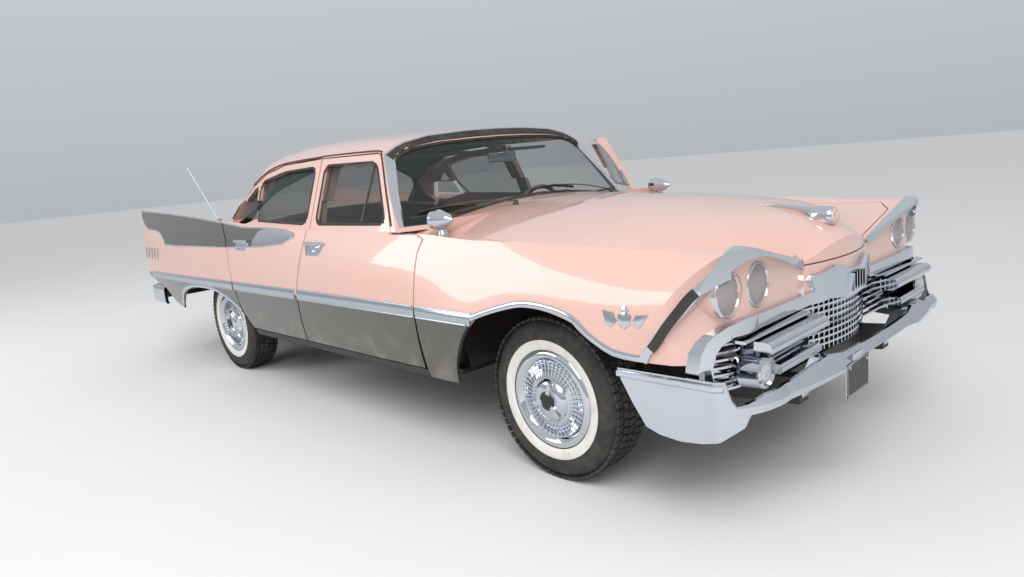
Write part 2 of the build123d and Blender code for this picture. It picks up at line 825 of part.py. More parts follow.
with BuildPart() as floor_pan:
    add(lower_body(2, 0, 0))
    add(plan_prism(pan_plan, sill_z, sill_z + floor_thickness), mode=Mode.INTERSECT)
    add(sill_form.part)
    add(mirrored(sill_form.part))
    add(boot_sides.part)
    add(across(heel, -604, 604))
    with BuildSketch(Plane.YZ.offset(heel_x)):
        with Locations((0, sill_z)):
            Circle(tunnel_radius)
        with Locations((0, sill_z - 200)):
            Rectangle(400, 400, mode=Mode.SUBTRACT)
    extrude(amount=1008 - heel_x)
    with BuildSketch(Plane.YZ.offset(heel_x - 20)):
        with Locations((0, sill_z)):
            Circle(tunnel_radius - 12)
    extrude(amount=1028 - heel_x, mode=Mode.SUBTRACT)
    add(chassis_frame.part, mode=Mode.SUBTRACT)
save(floor_pan.part, "floor_pan")

with BuildPart() as engine:
    with BuildSketch(Plane.XY.offset(300)):
        with Locations((1400, 0)):
            Rectangle(620, 300)
    with BuildSketch(Plane.XY.offset(560)):
        with Locations((1400, 0)):
            Rectangle(640, 560)
    loft()
    with BuildSketch(Plane.XY.offset(560)):
        with Locations((1400, 0)):
            Rectangle(640, 560)
    with BuildSketch(Plane.XY.offset(780)):
        with Locations((1400, 0)):
            Rectangle(600, 460)
    loft()
    with BuildSketch(Plane.XY.offset(780)):
        with Locations((1420, 0)):
            Circle(190)
    extrude(amount=90)
    with BuildSketch(Plane.YZ.offset(1091)):
        with Locations((0, 400)):
            Circle(95)
    with BuildSketch(Plane.YZ.offset(420)):
        with Locations((0, 370)):
            Circle(75)
    loft()
save(engine.part, "engine")

radiator_x = fore(560)
with BuildPart() as radiator:
    with BuildSketch(Plane.YZ.offset(radiator_x)):
        with Locations((0, 605)):
            Rectangle(640, 380)
        with Locations((0, 432)):
            Rectangle(740, 34)
    extrude(amount=60)
    add(chassis_frame.part, mode=Mode.SUBTRACT)
save(radiator.part, "radiator")

with BuildPart() as exhaust_system:
    with BuildLine():
        FilletPolyline((1150, -242, 420), (980, -250, 215), (-2300, -250, 215), (-2480, -470, 240),
                       (-2800, -470, 240),
                       radius=60)
    with BuildSketch(Plane(origin=(-2800, -470, 240), z_dir=(1, 0, 0))):
        Circle(24)
    sweep()
    with BuildSketch(Plane.YZ.offset(-820)):
        with Locations((-250, 215)):
            Ellipse(80, 55)
    extrude(amount=700)
save(exhaust_system.part, "exhaust_system")

with BuildPart() as fuel_tank:
    with BuildSketch(Plane.XY.offset(365)):
        with Locations((-2390, 0)):
            RectangleRounded(420, 640, 60)
    extrude(amount=boot_floor_z - 20 - 365)
save(fuel_tank.part, "fuel_tank")

# Cabin
front_seat_side = [(295, 386), (325, 590), (290, 628), (-205, 582), (-330, 1000), (-365, 1022), (-415, 1008),
                   (-300, 480), (-290, 386)]
rear_cushion_side = [
    (-545, 386), (-520, 590), (-555, 630), (-1040, 590), (heel_x + 6, 560), (heel_x + 6, 386),
]
rear_back_side = [(heel_x + 6, 604), (-1020, 604), (-1140, 975), (-1175, 1000), (-1230, 985), (-1322, 604)]


def bench(outline, half_length, radius):
    """A bench cushion across the cabin, with rounded edges and a channel over the tunnel."""
    with BuildPart() as form:
        add(across(outline, -half_length, half_length))
        fillet(form.edges().filter_by(Axis.Y).sort_by(Axis.Z)[2:], radius)
        with BuildSketch(Plane.YZ.offset(-1100)):
            with Locations((0, sill_z)):
                Circle(tunnel_radius + 4)
        extrude(amount=1500, mode=Mode.SUBTRACT)
    return form.part


save(bench(front_seat_side, 655, 18), "front_seat")
with BuildPart() as rear_seat:
    add(bench(rear_cushion_side, 690, 18))
    add(across(rear_back_side, -598, 598))
    add(chassis_frame.part, mode=Mode.SUBTRACT)
save(rear_seat.part, "rear_seat")

steering_centre = (318, 380, 935)
column_angle = 25
column_axis = Vector(-cos(radians(column_angle)), 0, sin(radians(column_angle)))
dash_side = [(566, 790), (548, 960), (572, 1040), (640, 1085), (884, 1085), (884, 900), (700, 800)]
with BuildPart() as dashboard:
    add(across(dash_side, -800, 800))
    add(body_inner.part, mode=Mode.INTERSECT)
    with BuildSketch(Plane(origin=Vector(*steering_centre) - column_axis * 26, z_dir=-column_axis)):
        Circle(26)
    extrude(amount=330)
save(dashboard.part, "dashboard")

steering_plane = Plane(origin=steering_centre, x_dir=(0, 1, 0), z_dir=column_axis)
wheel_ring = 205
with BuildPart() as steering_wheel:
    with BuildSketch(Plane(origin=steering_plane.from_local_coords((wheel_ring, 0, 0)),
                           x_dir=(0, 1, 0), z_dir=steering_plane.y_dir)):
        Circle(13)
    revolve(axis=Axis(steering_centre, tuple(column_axis)))
    with BuildSketch(steering_plane.offset(-20)):
        Circle(42)
    extrude(amount=26)
    with BuildSketch(steering_plane.offset(-14)):
        Rectangle(2 * wheel_ring - 8, 26)
    extrude(amount=12)
save(steering_wheel.part, "steering_wheel")

# Bumpers: a bar that wraps round each corner
def bumper_form(tip_x, front_x, corner_y, sag, levels):
    """Loft inside a bumper's plan curve, drawn in at each of its levels of z and inset; the nose points along +X."""
    with BuildPart() as form:
        for z, inset in levels:
            with BuildSketch(Plane.XY.offset(z)):
                with BuildLine():
                    for side in (1, -1):
                        Line((tip_x, side * (corner_y - inset)),
                             (front_x - 190, side * (corner_y - 12 - inset)))
                        ThreePointArc(
                            (front_x - 190, side * (corner_y - 12 - inset)),
                            (front_x - 105 - inset * 0.7, side * (corner_y - 95 - inset * 0.7)),
                            (front_x - sag - inset, side * (corner_y - 270)),
                        )
                    ThreePointArc(
                        (front_x - sag - inset, corner_y - 270),
                        (front_x - inset, 0),
                        (front_x - sag - inset, 270 - corner_y),
                    )
                    Line((tip_x, inset - corner_y), (tip_x, corner_y - inset))
                make_face()
        loft(ruled=True)
    return form.part


bumper_front_x = fore(990)
bumper_corner_y = 975
bumper_sag = 65
bumper_wall = 7
front_sizes = (bumper_front_x, bumper_corner_y, bumper_sag)
# Front bar: a narrow ledge with a sloping face, its outline seen from the front
bar_outline = [
    (0, 500), (224, 498), (331, 488), (397, 474), (611, 466), (797, 464), (960, 456), (960, 486), (893, 492),
    (815, 510), (671, 514), (542, 530), (424, 540), (341, 530), (0, 530),
]
bar_slope = [(450, 0), (484, 0), (570, 58)]
bar_end_x = fore(846)
# Wings: side plates with a rolled bead along the top, their outline seen from the side
wing_tip_x = fore(440)
wing_outline = [
    (wing_tip_x, 572), (wing_tip_x, 556), (fore(456), 524), (fore(494), 456), (fore(545), 379),
    (fore(598), 361),
    (fore(677), 354), (fore(752), 362), (fore(813), 377), (fore(866), 418), (fore(880), 462),
    (fore(853), 484),
    (fore(839), 512), (fore(826), 572),
]
wing_bead = [(538, 0), (545, -9), (560, -9), (569, 3)]
with BuildPart() as bar_region:
    add(front_prism(bar_outline, bar_end_x, fore(1060)))
    add(front_prism([(-y, z) for y, z in bar_outline], bar_end_x, fore(1060)))
with BuildPart() as front_bar:
    add(bumper_form(wing_tip_x, *front_sizes, bar_slope))
    add(bar_region.part, mode=Mode.INTERSECT)
    add(bumper_form(fore(300), *front_sizes,
                    [(z - bumper_wall, inset + bumper_wall) for z, inset in bar_slope]),
        mode=Mode.SUBTRACT)
with BuildPart() as wing_beads:
    add(bumper_form(wing_tip_x, *front_sizes, wing_bead))
    add(across([(fore(300), 400), (fore(826), 400), (fore(826), 700), (fore(300), 700)], -1100, 1100),
        mode=Mode.INTERSECT)
with BuildPart() as wings:
    add(bumper_form(wing_tip_x, *front_sizes, [(340, 0), (600, 0)]))
    add(across(wing_outline, -1100, 1100), mode=Mode.INTERSECT)
    add(wing_beads.part)
    add(bumper_form(fore(300), *front_sizes, [(330, bumper_wall), (610, bumper_wall)]), mode=Mode.SUBTRACT)

# Number plate blank on the bumper's right, with two bolt holes
plate_y = -277
plate_size = (200, 124)
plate_z = 434
plate_x = fore(967)
plate_thickness = 3
plate_holes = 150
plate_hole_radius = 3.5
plate_hole_z = plate_z + 44
with BuildPart() as front_bumper:
    add(front_bar.part)
    add(wings.part)
    with BuildSketch(Plane.YZ.offset(plate_x)):
        with Locations((plate_y, plate_z)):
            RectangleRounded(*plate_size, 8)
        with Locations((plate_y, plate_z + plate_size[1] / 2 + 8)):
            Rectangle(90, 30)
    extrude(amount=plate_thickness)
    with BuildSketch(Plane.YZ.offset(plate_x - 5)):
        with Locations((plate_y - plate_holes / 2, plate_hole_z), (plate_y + plate_holes / 2, plate_hole_z)):
            Circle(plate_hole_radius)
    extrude(amount=16, mode=Mode.SUBTRACT)
    for side in (1, -1):
        with BuildSketch(Plane.XZ.offset(-side * rail_y)):
            with BuildLine():
                Polyline((fore(830), 360), (fore(830), 440), (fore(866), 528), (fore(931), 528),
                         (fore(951), 498),
                         (fore(888), 470), close=True)
            make_face()
        extrude(amount=25, both=True)
save(front_bumper.part, "front_bumper")

rear_bar = [(0, 430), (1100, 430), (1100, 560), (880, 565), (500, 575), (0, 575)]
rear_bumper_x = 2915
rear_sizes = (rear_bumper_x, 985, 55)
rear_slope = [(420, 12), (450, 0), (540, 0), (590, 14)]
with BuildPart() as rear_bumper:
    add(front_prism(rear_bar, 2000, 3000))
    add(front_prism([(-y, z) for y, z in rear_bar], 2000, 3000))
    add(bumper_form(2440, *rear_sizes, rear_slope), mode=Mode.INTERSECT)
    add(bumper_form(2400, *rear_sizes, [(z, inset + 3 * bumper_wall) for z, inset in rear_slope]),
        mode=Mode.SUBTRACT)
    for side in (1, -1):
        with BuildSketch(Plane.XZ.offset(-side * rail_y)):
            with BuildLine():
                Polyline((2760, 340), (2760, 418), (2800, 424), (2815, 520), (rear_bumper_x - 28, 520),
                         (rear_bumper_x - 28, 470), (2850, 380), close=True)
            make_face()
        extrude(amount=25, both=True)
save(mirrored(rear_bumper.part, Plane.YZ), "rear_bumper")

# Grille surround, grille with its thick bars, and the lamp pods
surround_half = [
    (0, 772), (48, 776), (104, 800), (150, 806), (205, 792), (270, 784), (284, 768), (256, 724), (600, 730),
    (782, 738), (857, 725), (897, 703), (918, 682), (932, 646), (939, 593), (940, 505),
    (905, 505), (905, 600), (895, 643), (876, 670), (831, 687), (600, 684), (240, 678), (190, 686),
    (100, 674),
    (0, 668),
]
surround_depth = 22
crest_ribs = 5
crest_rib_pitch = 26
with BuildPart() as grille_surround:
    add(front_prism(surround_half, fore(420), fore(960)))
    add(front_prism([(-y, z) for y, z in surround_half], fore(420), fore(960)))
    add(nose_plan(-surround_depth, 400, 900), mode=Mode.INTERSECT)
    for i in range(crest_ribs):
        y = (i - (crest_ribs - 1) / 2) * crest_rib_pitch
        top_z = 764 - abs(y) * 0.1
        with BuildSketch(Plane.YZ.offset(fore(830))):
            with Locations((y, (top_z + 690) / 2)):
                Rectangle(7, top_z - 690)
        extrude(amount=46)
    add(nose_plan(0, 390, 910), mode=Mode.SUBTRACT)
save(grille_surround.part, "grille_surround")

pod_y = 738
pod_z = 558
pod_front_x = fore(866)
pod_radius = 64
# Thick bars: height of the middle, thickness, reach ahead of the axle, inner and outer end
thick_bars = [(638, 48, 900, 345, 775), (556, 34, 896, 400, 700), (672, 10, 846, 372, 838)]
grille_edge = [
    (4 - mouth_y, 484),
    (mouth_y - 4, 484),
    (mouth_y - 4, mouth_top_z - 46),
    (mouth_y - 76, mouth_top_z - 4),
    (76 - mouth_y, mouth_top_z - 4),
    (4 - mouth_y, mouth_top_z - 46),
]
with BuildPart() as grille:
    with BuildSketch(Plane.YZ.offset(fore(600))):
        for z in range(505, 706, 25):
            with Locations((0, z)):
                Rectangle(1830, 8)
        for y in range(-240, 241, 30):
            with Locations((y, 592)):
                Rectangle(6, 250)
        for y in (-900, -560, 560, 900):
            with Locations((y, 592)):
                Rectangle(14, 250)
    extrude(amount=360)
    add(nose_plan(8, 400, 900), mode=Mode.INTERSECT)
    add(nose_plan(26, 390, 910), mode=Mode.SUBTRACT)
    add(front_prism(grille_edge, fore(400), fore(960)), mode=Mode.INTERSECT)
    for side in (1, -1):
        for z, height, reach, inner_y, outer_y in thick_bars:
            nose_x = fore(reach - height / 2)
            with BuildSketch(Plane.XZ.offset(-side * inner_y)):
                with BuildLine():
                    Line((fore(775), z - height / 2), (nose_x, z - height / 2))
                    ThreePointArc((nose_x, z - height / 2), (fore(reach), z), (nose_x, z + height / 2))
                    Line((nose_x, z + height / 2), (fore(775), z + height / 2))
                    Line((fore(775), z + height / 2), (fore(775), z - height / 2))
                make_face()
            extrude(amount=-side * (outer_y - inner_y))
        with BuildSketch(Plane.XY.offset(pod_z)):
            with BuildLine():
                Polyline(
                    (fore(640), side * pod_y),
                    (fore(640), side * (pod_y + pod_radius - 16)),
                    (fore(790), side * (pod_y + pod_radius)),
                    (pod_front_x - 6, side * (pod_y + pod_radius - 6)),
                    (pod_front_x, side * (pod_y + pod_radius - 14)),
                    (pod_front_x - 12, side * (pod_y + pod_radius - 24)),
                    (pod_front_x - 12, side * pod_y),
                    close=True,
                )
            make_face()
        revolve(axis=Axis((0, side * pod_y, pod_z), (1, 0, 0)))
save(grille.part, "grille")

mirror_x = fore(-600)
mirror_y = 844
with BuildPart() as mirrors:
    for side in (1, -1):
        with BuildSketch(Plane.XZ.offset(-side * mirror_y)):
            with BuildLine():
                Polyline((mirror_x, 970), (mirror_x + 24, 970), (mirror_x + 24, 1004), (mirror_x + 10, 1030),
                         (mirror_x + 8, 1060), (mirror_x, 1060), close=True)
            make_face()
        revolve(axis=Axis((mirror_x, side * mirror_y, 0), (0, 0, 1)))
        with BuildSketch(Plane.XY.offset(1066)):
            with BuildLine():
                Polyline(
                    (mirror_x - 50, side * mirror_y),
                    (mirror_x - 50, side * (mirror_y + 44)),
                    (mirror_x - 10, side * (mirror_y + 46)),
                    (mirror_x + 50, side * (mirror_y + 26)),
                    (mirror_x + 82, side * mirror_y),
                    close=True,
                )
            make_face()
        revolve(axis=Axis((0, side * mirror_y, 1066), (1, 0, 0)))
    add(lower_outer.part, mode=Mode.SUBTRACT)
save(mirrors.part, "mirrors")

aerial_foot = (-1405, -880, 1070)
aerial_tip = (-1760, -900, 1440)
with BuildPart() as aerial:
    with BuildSketch(Plane(origin=aerial_foot, z_dir=Vector(*aerial_tip) - Vector(*aerial_foot))):
        Circle(3.5)
    extrude(amount=(Vector(*aerial_tip) - Vector(*aerial_foot)).length)
    with BuildSketch(Plane.XY.offset(aerial_foot[2] - 30)):
        with Locations((aerial_foot[0], aerial_foot[1])):
            Circle(16)
    extrude(amount=45)
    add(lower_outer.part, mode=Mode.SUBTRACT)
save(aerial.part, "aerial")

# Wheels, tyres, knuckles and axle
hub_bore = 22
spindle_fit = 0.3
tread_y = {"front": front_track / 2, "rear": rear_track / 2}


def tyre(x, y):
    """Tyre with rounded shoulders and sidewalls that curve in to the rim."""
    half = tyre_width / 2
    with BuildPart() as form:
        with BuildSketch(Plane.XY):
            with BuildLine():
                Line((rim_radius, -half + 26), (rim_radius, half - 26))
                ThreePointArc((rim_radius, half - 26), (rim_radius + 70, half), (tyre_radius - 34, half - 12))
                ThreePointArc((tyre_radius - 34, half - 12), (tyre_radius - 9, half - 24),
                              (tyre_radius - 2, half - 44))
                Line((tyre_radius - 2, half - 44), (tyre_radius, 0))
                Line((tyre_radius, 0), (tyre_radius - 2, 44 - half))
                ThreePointArc((tyre_radius - 2, 44 - half), (tyre_radius - 9, 24 - half),
                              (tyre_radius - 34, 12 - half))
                ThreePointArc((tyre_radius - 34, 12 - half), (rim_radius + 70, -half),
                              (rim_radius, -half + 26))
            make_face()
        revolve(axis=Axis.Y)
    return form.part.moved(Location((x, y, tyre_radius)))


def wheel(x, y, side):
    """Rim, disc and domed hub cap on a bored hub."""
    half = tyre_width / 2
    with BuildPart() as form:
        with BuildSketch(Plane.XY):
            with BuildLine():
                Polyline(
                    (hub_bore + spindle_fit, 10),
                    (hub_bore + spindle_fit, -40),
                    (52, -40),
                    (58, 6),
                    (150, 22),
                    (178, -half + 20),
                    (rim_radius, -half + 20),
                    (rim_radius, half - 20),
                    (204, half - 14),
                )
                ThreePointArc((204, half - 14), (178, half - 2), (160, half - 12))
                Line((160, half - 12), (112, half - 22))
                ThreePointArc((112, half - 22), (76, half + 8), (40, half + 16))
                Line((40, half + 16), (0, half + 18))
                Line((0, half + 18), (0, 10))
                Line((0, 10), (hub_bore + spindle_fit, 10))
            make_face()
        revolve(axis=Axis.Y)
    turned = form.part if side > 0 else mirrored(form.part)
    return turned.moved(Location((x, y, tyre_radius)))


kingpin_y = 655
for side, hand in ((1, "left"), (-1, "right")):
    for end, axle_x in (("front", front_axle), ("rear", rear_axle)):
        save(tyre(axle_x, side * tread_y[end]), f"tyre_{end}_{hand}")
        save(wheel(axle_x, side * tread_y[end], side), f"wheel_{end}_{hand}")
    with BuildPart() as knuckle:
        with BuildSketch(Plane.XY.offset(tyre_radius - 130)):
            with Locations((front_axle, side * kingpin_y)):
                Circle(24)
        extrude(amount=260)
        with BuildSketch(Plane.XZ.offset(-side * kingpin_y)):
            with Locations((front_axle, tyre_radius)):
                Circle(hub_bore)
        extrude(amount=-side * (tread_y["front"] + 8 - kingpin_y))
        with BuildSketch(Plane.XY.offset(tyre_radius - 90)):
            with BuildLine():
                Polyline(
                    (front_axle, side * (kingpin_y + 16)),
                    (front_axle, side * (kingpin_y - 16)),
                    (front_axle - 150, side * (kingpin_y - 48)),
                    (front_axle - 150, side * (kingpin_y - 20)),
                    close=True,
                )
            make_face()
        extrude(amount=24)
    save(knuckle.part, f"knuckle_{hand}")

# Front cross member with its upper and lower arms, which end at the kingpins
arm_gap = 1
with BuildPart() as front_suspension:
    with BuildSketch(Plane.XZ.offset(520)):
        with Locations((front_axle, 245)):
            Rectangle(130, 70)
    extrude(amount=-1040)
    for side in (1, -1):
        for z, spread in ((tyre_radius - 130 - arm_gap - 22, 170), (tyre_radius + 130 + arm_gap, 130)):
            with BuildSketch(Plane.XY.offset(z)):
                with BuildLine():
                    Polyline(
                        (front_axle - spread, side * 430),
                        (front_axle - 30, side * (kingpin_y + 26)),
                        (front_axle + 30, side * (kingpin_y + 26)),
                        (front_axle + spread, side * 430),
                        (front_axle + spread - 60, side * 430),
                        (front_axle, side * (kingpin_y - 60)),
                        (front_axle - spread + 60, side * 430),
                        close=True,
                    )
                make_face()
            extrude(amount=22)
        with BuildSketch(Plane.XY.offset(tyre_radius - 153)):
            with Locations((front_axle, side * 471)):
                Rectangle(390, 58)
        extrude(amount=307)
save(front_suspension.part, "front_suspension")

# Rear axle with its housing, shaft and leaf springs, which hang from pins in the rails
housing_radius = 42
spring_y = 530
spring_ends = (-960, -2160)
with BuildPart() as rear_axle_beam:
    with BuildSketch(Plane.XZ.offset(tread_y["rear"] + 8)):
        with Locations((rear_axle, tyre_radius)):
            Circle(hub_bore)
    extrude(amount=-2 * (tread_y["rear"] + 8))
    with BuildSketch(Plane.XZ.offset(tread_y["rear"] - 60)):
        with Locations((rear_axle, tyre_radius)):
            Circle(housing_radius)
    extrude(amount=-2 * (tread_y["rear"] - 60))
    with BuildSketch(Plane.YZ.offset(rear_axle)):
        with BuildLine():
            Polyline((-200, tyre_radius), (-80, tyre_radius + 132), (80, tyre_radius + 132),
                     (200, tyre_radius), close=True)
        make_face()
    revolve(axis=Axis((rear_axle, 0, tyre_radius), (0, 1, 0)))
    with BuildSketch(Plane.YZ.offset(rear_axle)):
        with Locations((0, tyre_radius)):
            Circle(38)
    extrude(amount=420 - rear_axle)
    for side in (1, -1):
        with BuildSketch(Plane.XZ.offset(-side * spring_y)):
            with BuildLine():
                ThreePointArc((spring_ends[0], 318), (rear_axle, tyre_radius - 72), (spring_ends[1], 366))
                Line((spring_ends[1], 366), (spring_ends[1], 392))
                ThreePointArc((spring_ends[1], 392), (rear_axle, tyre_radius - 36), (spring_ends[0], 344))
                Line((spring_ends[0], 344), (spring_ends[0], 318))
            make_face()
        extrude(amount=30, both=True)
        for x, z in ((spring_ends[0], 331), (spring_ends[1], 379)):
            with BuildSketch(Plane.XZ.offset(-side * (rail_y + rail_width / 2))):
                with Locations((x, z)):
                    Circle(16)
            extrude(amount=-side * (spring_y + 30 - rail_y - rail_width / 2))
save(rear_axle_beam.part, "rear_axle")
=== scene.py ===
# Four-door sedan of the late 1950s with tail fins: finishes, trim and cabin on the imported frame.
import bpy
import bmesh
import math
import numpy as np
from mathutils import Matrix, Vector
from mathutils.bvhtree import BVHTree


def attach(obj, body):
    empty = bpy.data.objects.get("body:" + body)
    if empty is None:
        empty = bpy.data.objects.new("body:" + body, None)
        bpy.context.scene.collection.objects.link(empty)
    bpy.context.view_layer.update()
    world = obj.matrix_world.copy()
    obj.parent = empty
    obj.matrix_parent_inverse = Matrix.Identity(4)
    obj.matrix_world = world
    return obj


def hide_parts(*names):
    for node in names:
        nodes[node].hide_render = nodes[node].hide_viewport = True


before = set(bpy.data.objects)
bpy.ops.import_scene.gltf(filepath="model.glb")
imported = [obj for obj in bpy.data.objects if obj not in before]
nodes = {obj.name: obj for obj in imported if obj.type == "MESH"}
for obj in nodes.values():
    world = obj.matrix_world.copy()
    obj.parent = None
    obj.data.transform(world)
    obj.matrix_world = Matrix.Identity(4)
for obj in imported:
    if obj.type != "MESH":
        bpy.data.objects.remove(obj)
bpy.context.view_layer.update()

frontAxle = 1.5495  # x of the axles
rearAxle = -1.5495
tyreRadius = 0.34


def fore(distance):
    # x of a place this far ahead of the front axle
    return frontAxle + distance


class Signal:
    # a shader socket that takes part in plain arithmetic
    def __init__(self, finish, socket):
        self.finish, self.socket = finish, socket

    def calc(self, operation, *values, clamp=False):
        settings = {"operation": operation, "use_clamp": clamp}
        return self.finish.node("ShaderNodeMath", settings, list(values))

    def __add__(self, other): return self.calc("ADD", self, other)
    def __radd__(self, other): return self.calc("ADD", other, self)
    def __sub__(self, other): return self.calc("SUBTRACT", self, other)
    def __rsub__(self, other): return self.calc("SUBTRACT", other, self)
    def __mul__(self, other): return self.calc("MULTIPLY", self, other)
    def __rmul__(self, other): return self.calc("MULTIPLY", other, self)
    def __pow__(self, other): return self.calc("POWER", self, other)
    def __abs__(self): return self.calc("ABSOLUTE", self)
    def __gt__(self, other): return self.calc("GREATER_THAN", self, other)
    def __lt__(self, other): return self.calc("LESS_THAN", self, other)

    def held(self):
        # kept between 0 and 1
        return self.calc("ADD", self, 0.0, clamp=True)

    def wave(self):
        return self.calc("SINE", self)

    def between(self, low, high):
        # 0 at low, 1 at high, smooth
        return self.finish.node("ShaderNodeMapRange", {"interpolation_type": "SMOOTHSTEP"},
                                {"Value": self, "From Min": low, "From Max": high})


class Finish:
    # one material and the nodes that make it
    def __init__(self, name, **shader):
        self.material = bpy.data.materials.new(name)
        self.material.use_nodes = True
        self.tree = self.material.node_tree
        self.shader = self.tree.nodes["Principled BSDF"]
        self.output = self.tree.nodes["Material Output"]
        for label, value in shader.items():
            self.set(label, value)

    def set(self, label, value):
        socket = self.shader.inputs[label.replace("_", " ")]
        self.feed(socket, value)

    def feed(self, socket, value):
        if isinstance(value, Signal):
            self.tree.links.new(value.socket, socket)
        elif socket.type == "RGBA" and len(value) == 3:
            socket.default_value = (*value, 1.0)
        else:
            socket.default_value = value

    def node(self, kind, settings=None, values=None, give=0):
        made = self.tree.nodes.new(kind)
        for key, value in (settings or {}).items():
            if key == "stops":
                ramp = made.color_ramp
                while len(ramp.elements) < len(value):
                    ramp.elements.new(0.5)
                for element, (place, colour) in zip(ramp.elements, value):
                    element.position, element.color = place, (*colour, 1.0)
            else:
                setattr(made, key, value)
        pairs = values.items() if isinstance(values, dict) else enumerate(values or [])
        for key, value in pairs:
            self.feed(made.inputs[key], value)
        return Signal(self, made.outputs[give])

    def place(self):
        return self.node("ShaderNodeTexCoord", give="Object")

    def facing(self):
        # the object's own normal, as three values
        return self.axes(self.node("ShaderNodeTexCoord", give="Normal"))

    def axes(self, source=None):
        made = self.tree.nodes.new("ShaderNodeSeparateXYZ")
        self.feed(made.inputs[0], source or self.place())
        return [Signal(self, made.outputs[i]) for i in range(3)]

    def stretched(self, scale):
        return self.node("ShaderNodeMapping", {}, {"Vector": self.place(), "Scale": scale})

    def noise(self, scale, detail=3.0, rough=0.5, vector=None):
        values = {"Vector": vector or self.place(), "Scale": scale, "Detail": detail, "Roughness": rough}
        return self.node("ShaderNodeTexNoise", {}, values)

    def cells(self, scale):
        return self.node("ShaderNodeTexVoronoi", {"feature": "F1"},
                         {"Vector": self.place(), "Scale": scale}, give="Distance")

    def along(self, source, points):
        # height of a polyline at this place; its points run from low to high
        total = points[0][1]
        for (low, first), (high, second) in zip(points, points[1:]):
            span = {"Value": source, "From Min": low, "From Max": high,
                    "To Min": 0.0, "To Max": second - first}
            total = total + self.node("ShaderNodeMapRange", {}, span)
        return total

    def mix(self, factor, first, second):
        # sockets 6 and 7 take the Mix node's two colours, and output 2 gives the blend
        made = self.tree.nodes.new("ShaderNodeMix")
        made.data_type = "RGBA"
        self.feed(made.inputs[0], factor)
        self.feed(made.inputs[6], first)
        self.feed(made.inputs[7], second)
        return Signal(self, made.outputs[2])

    def bump(self, height, strength=0.2, distance=0.001):
        return self.node("ShaderNodeBump", {},
                         {"Height": height, "Strength": strength, "Distance": distance})

    def grain(self, scale, detail, strength, distance):
        # fine bumps all over
        self.set("Normal", self.bump(self.noise(scale, detail), strength, distance))


def shade(colour, share):
    return tuple(part * share for part in colour)


paint = {
    "pink": (0.76, 0.475, 0.405),
    "pewter": (0.078, 0.073, 0.062),
    "dust": (0.42, 0.36, 0.30),
    "coatRough": 0.04, "flakeSize": 900, "peel": (420, 1, 0.03, 0.0004),
    "inner": (0.045, 0.042, 0.040),  # the undercoat in the arches and the trim inside the window frames
    "archTop": 0.80, "frameFoot": 1.02, "frameRear": -2.0, "innerRear": -2.4, "innerFront": 1.3,
    "turned": -0.02,  # how far a face looks back to the middle of the car before it counts as inner
    "mouthTop": 0.700, "mouthY": 0.903,  # behind the grille the nose is dark
    "splitZ": 0.672,  # the two colours meet under the side moulding
    "splitX": fore(-0.30),  # ahead of the front arch the whole fender is pink
    "finFrom": -0.280,  # the dark panel on the fin, between its foot and its top, outside the fin's crest
    "finFoot": [(-2.935, 1.140), (-2.900, 1.100), (-2.820, 1.045), (-2.720, 1.010), (-2.500, 1.000),
                (-2.420, 0.985), (-2.350, 0.945), (-2.300, 0.902), (-2.100, 0.898), (-1.100, 0.910),
                (-0.640, 0.925), (-0.400, 0.945), (-0.280, 0.985)],
    "finTop": [(-2.950, 1.180), (-2.930, 1.158), (-2.872, 1.152), (-2.419, 1.133), (-2.000, 1.111),
               (-1.635, 1.091), (-1.400, 1.073), (-1.148, 1.054), (-0.928, 1.035), (-0.607, 1.030),
               (-0.382, 1.020), (-0.280, 0.998)],
    "crestY": [(-2.950, 0.884), (-2.400, 0.898), (-1.800, 0.912), (-1.050, 0.922), (-0.150, 0.910)],
}


def pewterColour(f):
    # dark grey with a fine metal flake
    flake = f.cells(paint["flakeSize"]).between(0.1, 0.6)
    return f.mix(flake * 0.5, paint["pewter"], shade(paint["pewter"], 1.5))


def bodyPaint(name, twoTone):
    # pink, over pewter with a dark fin where twoTone is true; dull and dark on the inner faces
    f = Finish(name, Coat_Roughness=paint["coatRough"], Specular_IOR_Level=0.5)
    x, y, z = f.axes()
    arch = (z < paint["archTop"]) * (x > paint["innerRear"])
    turnedIn = f.facing()[1] * y < paint["turned"]
    if twoTone:
        inward = arch * turnedIn
    else:
        mouth = (z < paint["mouthTop"]) * (abs(y) < paint["mouthY"]) * (x > paint["innerFront"])
        frames = turnedIn * (z > paint["frameFoot"]) * (x > paint["frameRear"])
        inward = (arch * (x < paint["innerFront"]) + frames + mouth).held()
    f.set("Coat Weight", 1 - inward)
    mottle = f.noise(2.2, 4).between(0.35, 0.7)
    dust = f.noise(9, 5).between(0.42, 0.75) * (1 - z.between(0.38, 0.62))
    colour = f.mix(mottle * 0.35, paint["pink"], shade(paint["pink"], 0.93))
    if twoTone:
        fin = (x < paint["finFrom"]) * (z > f.along(x, paint["finFoot"]))
        fin = fin * (z < f.along(x, paint["finTop"])) * (abs(y) > f.along(x, paint["crestY"]))
        fin = fin * (1 - turnedIn)
        low = ((z < paint["splitZ"]) * (x < paint["splitX"]) + fin).held()
        colour = f.mix(low, colour, pewterColour(f))
        f.set("Metallic", low * (1 - inward) * 0.75)
        f.set("Roughness", 0.32 + dust * 0.2 + mottle * 0.04 + inward * 0.35)
    else:
        f.set("Roughness", 0.30 + dust * 0.2 + mottle * 0.05 + inward * 0.35)
    f.set("Base Color", f.mix(inward, f.mix(dust * 0.45, colour, paint["dust"]), paint["inner"]))
    f.grain(*paint["peel"])
    return f.material


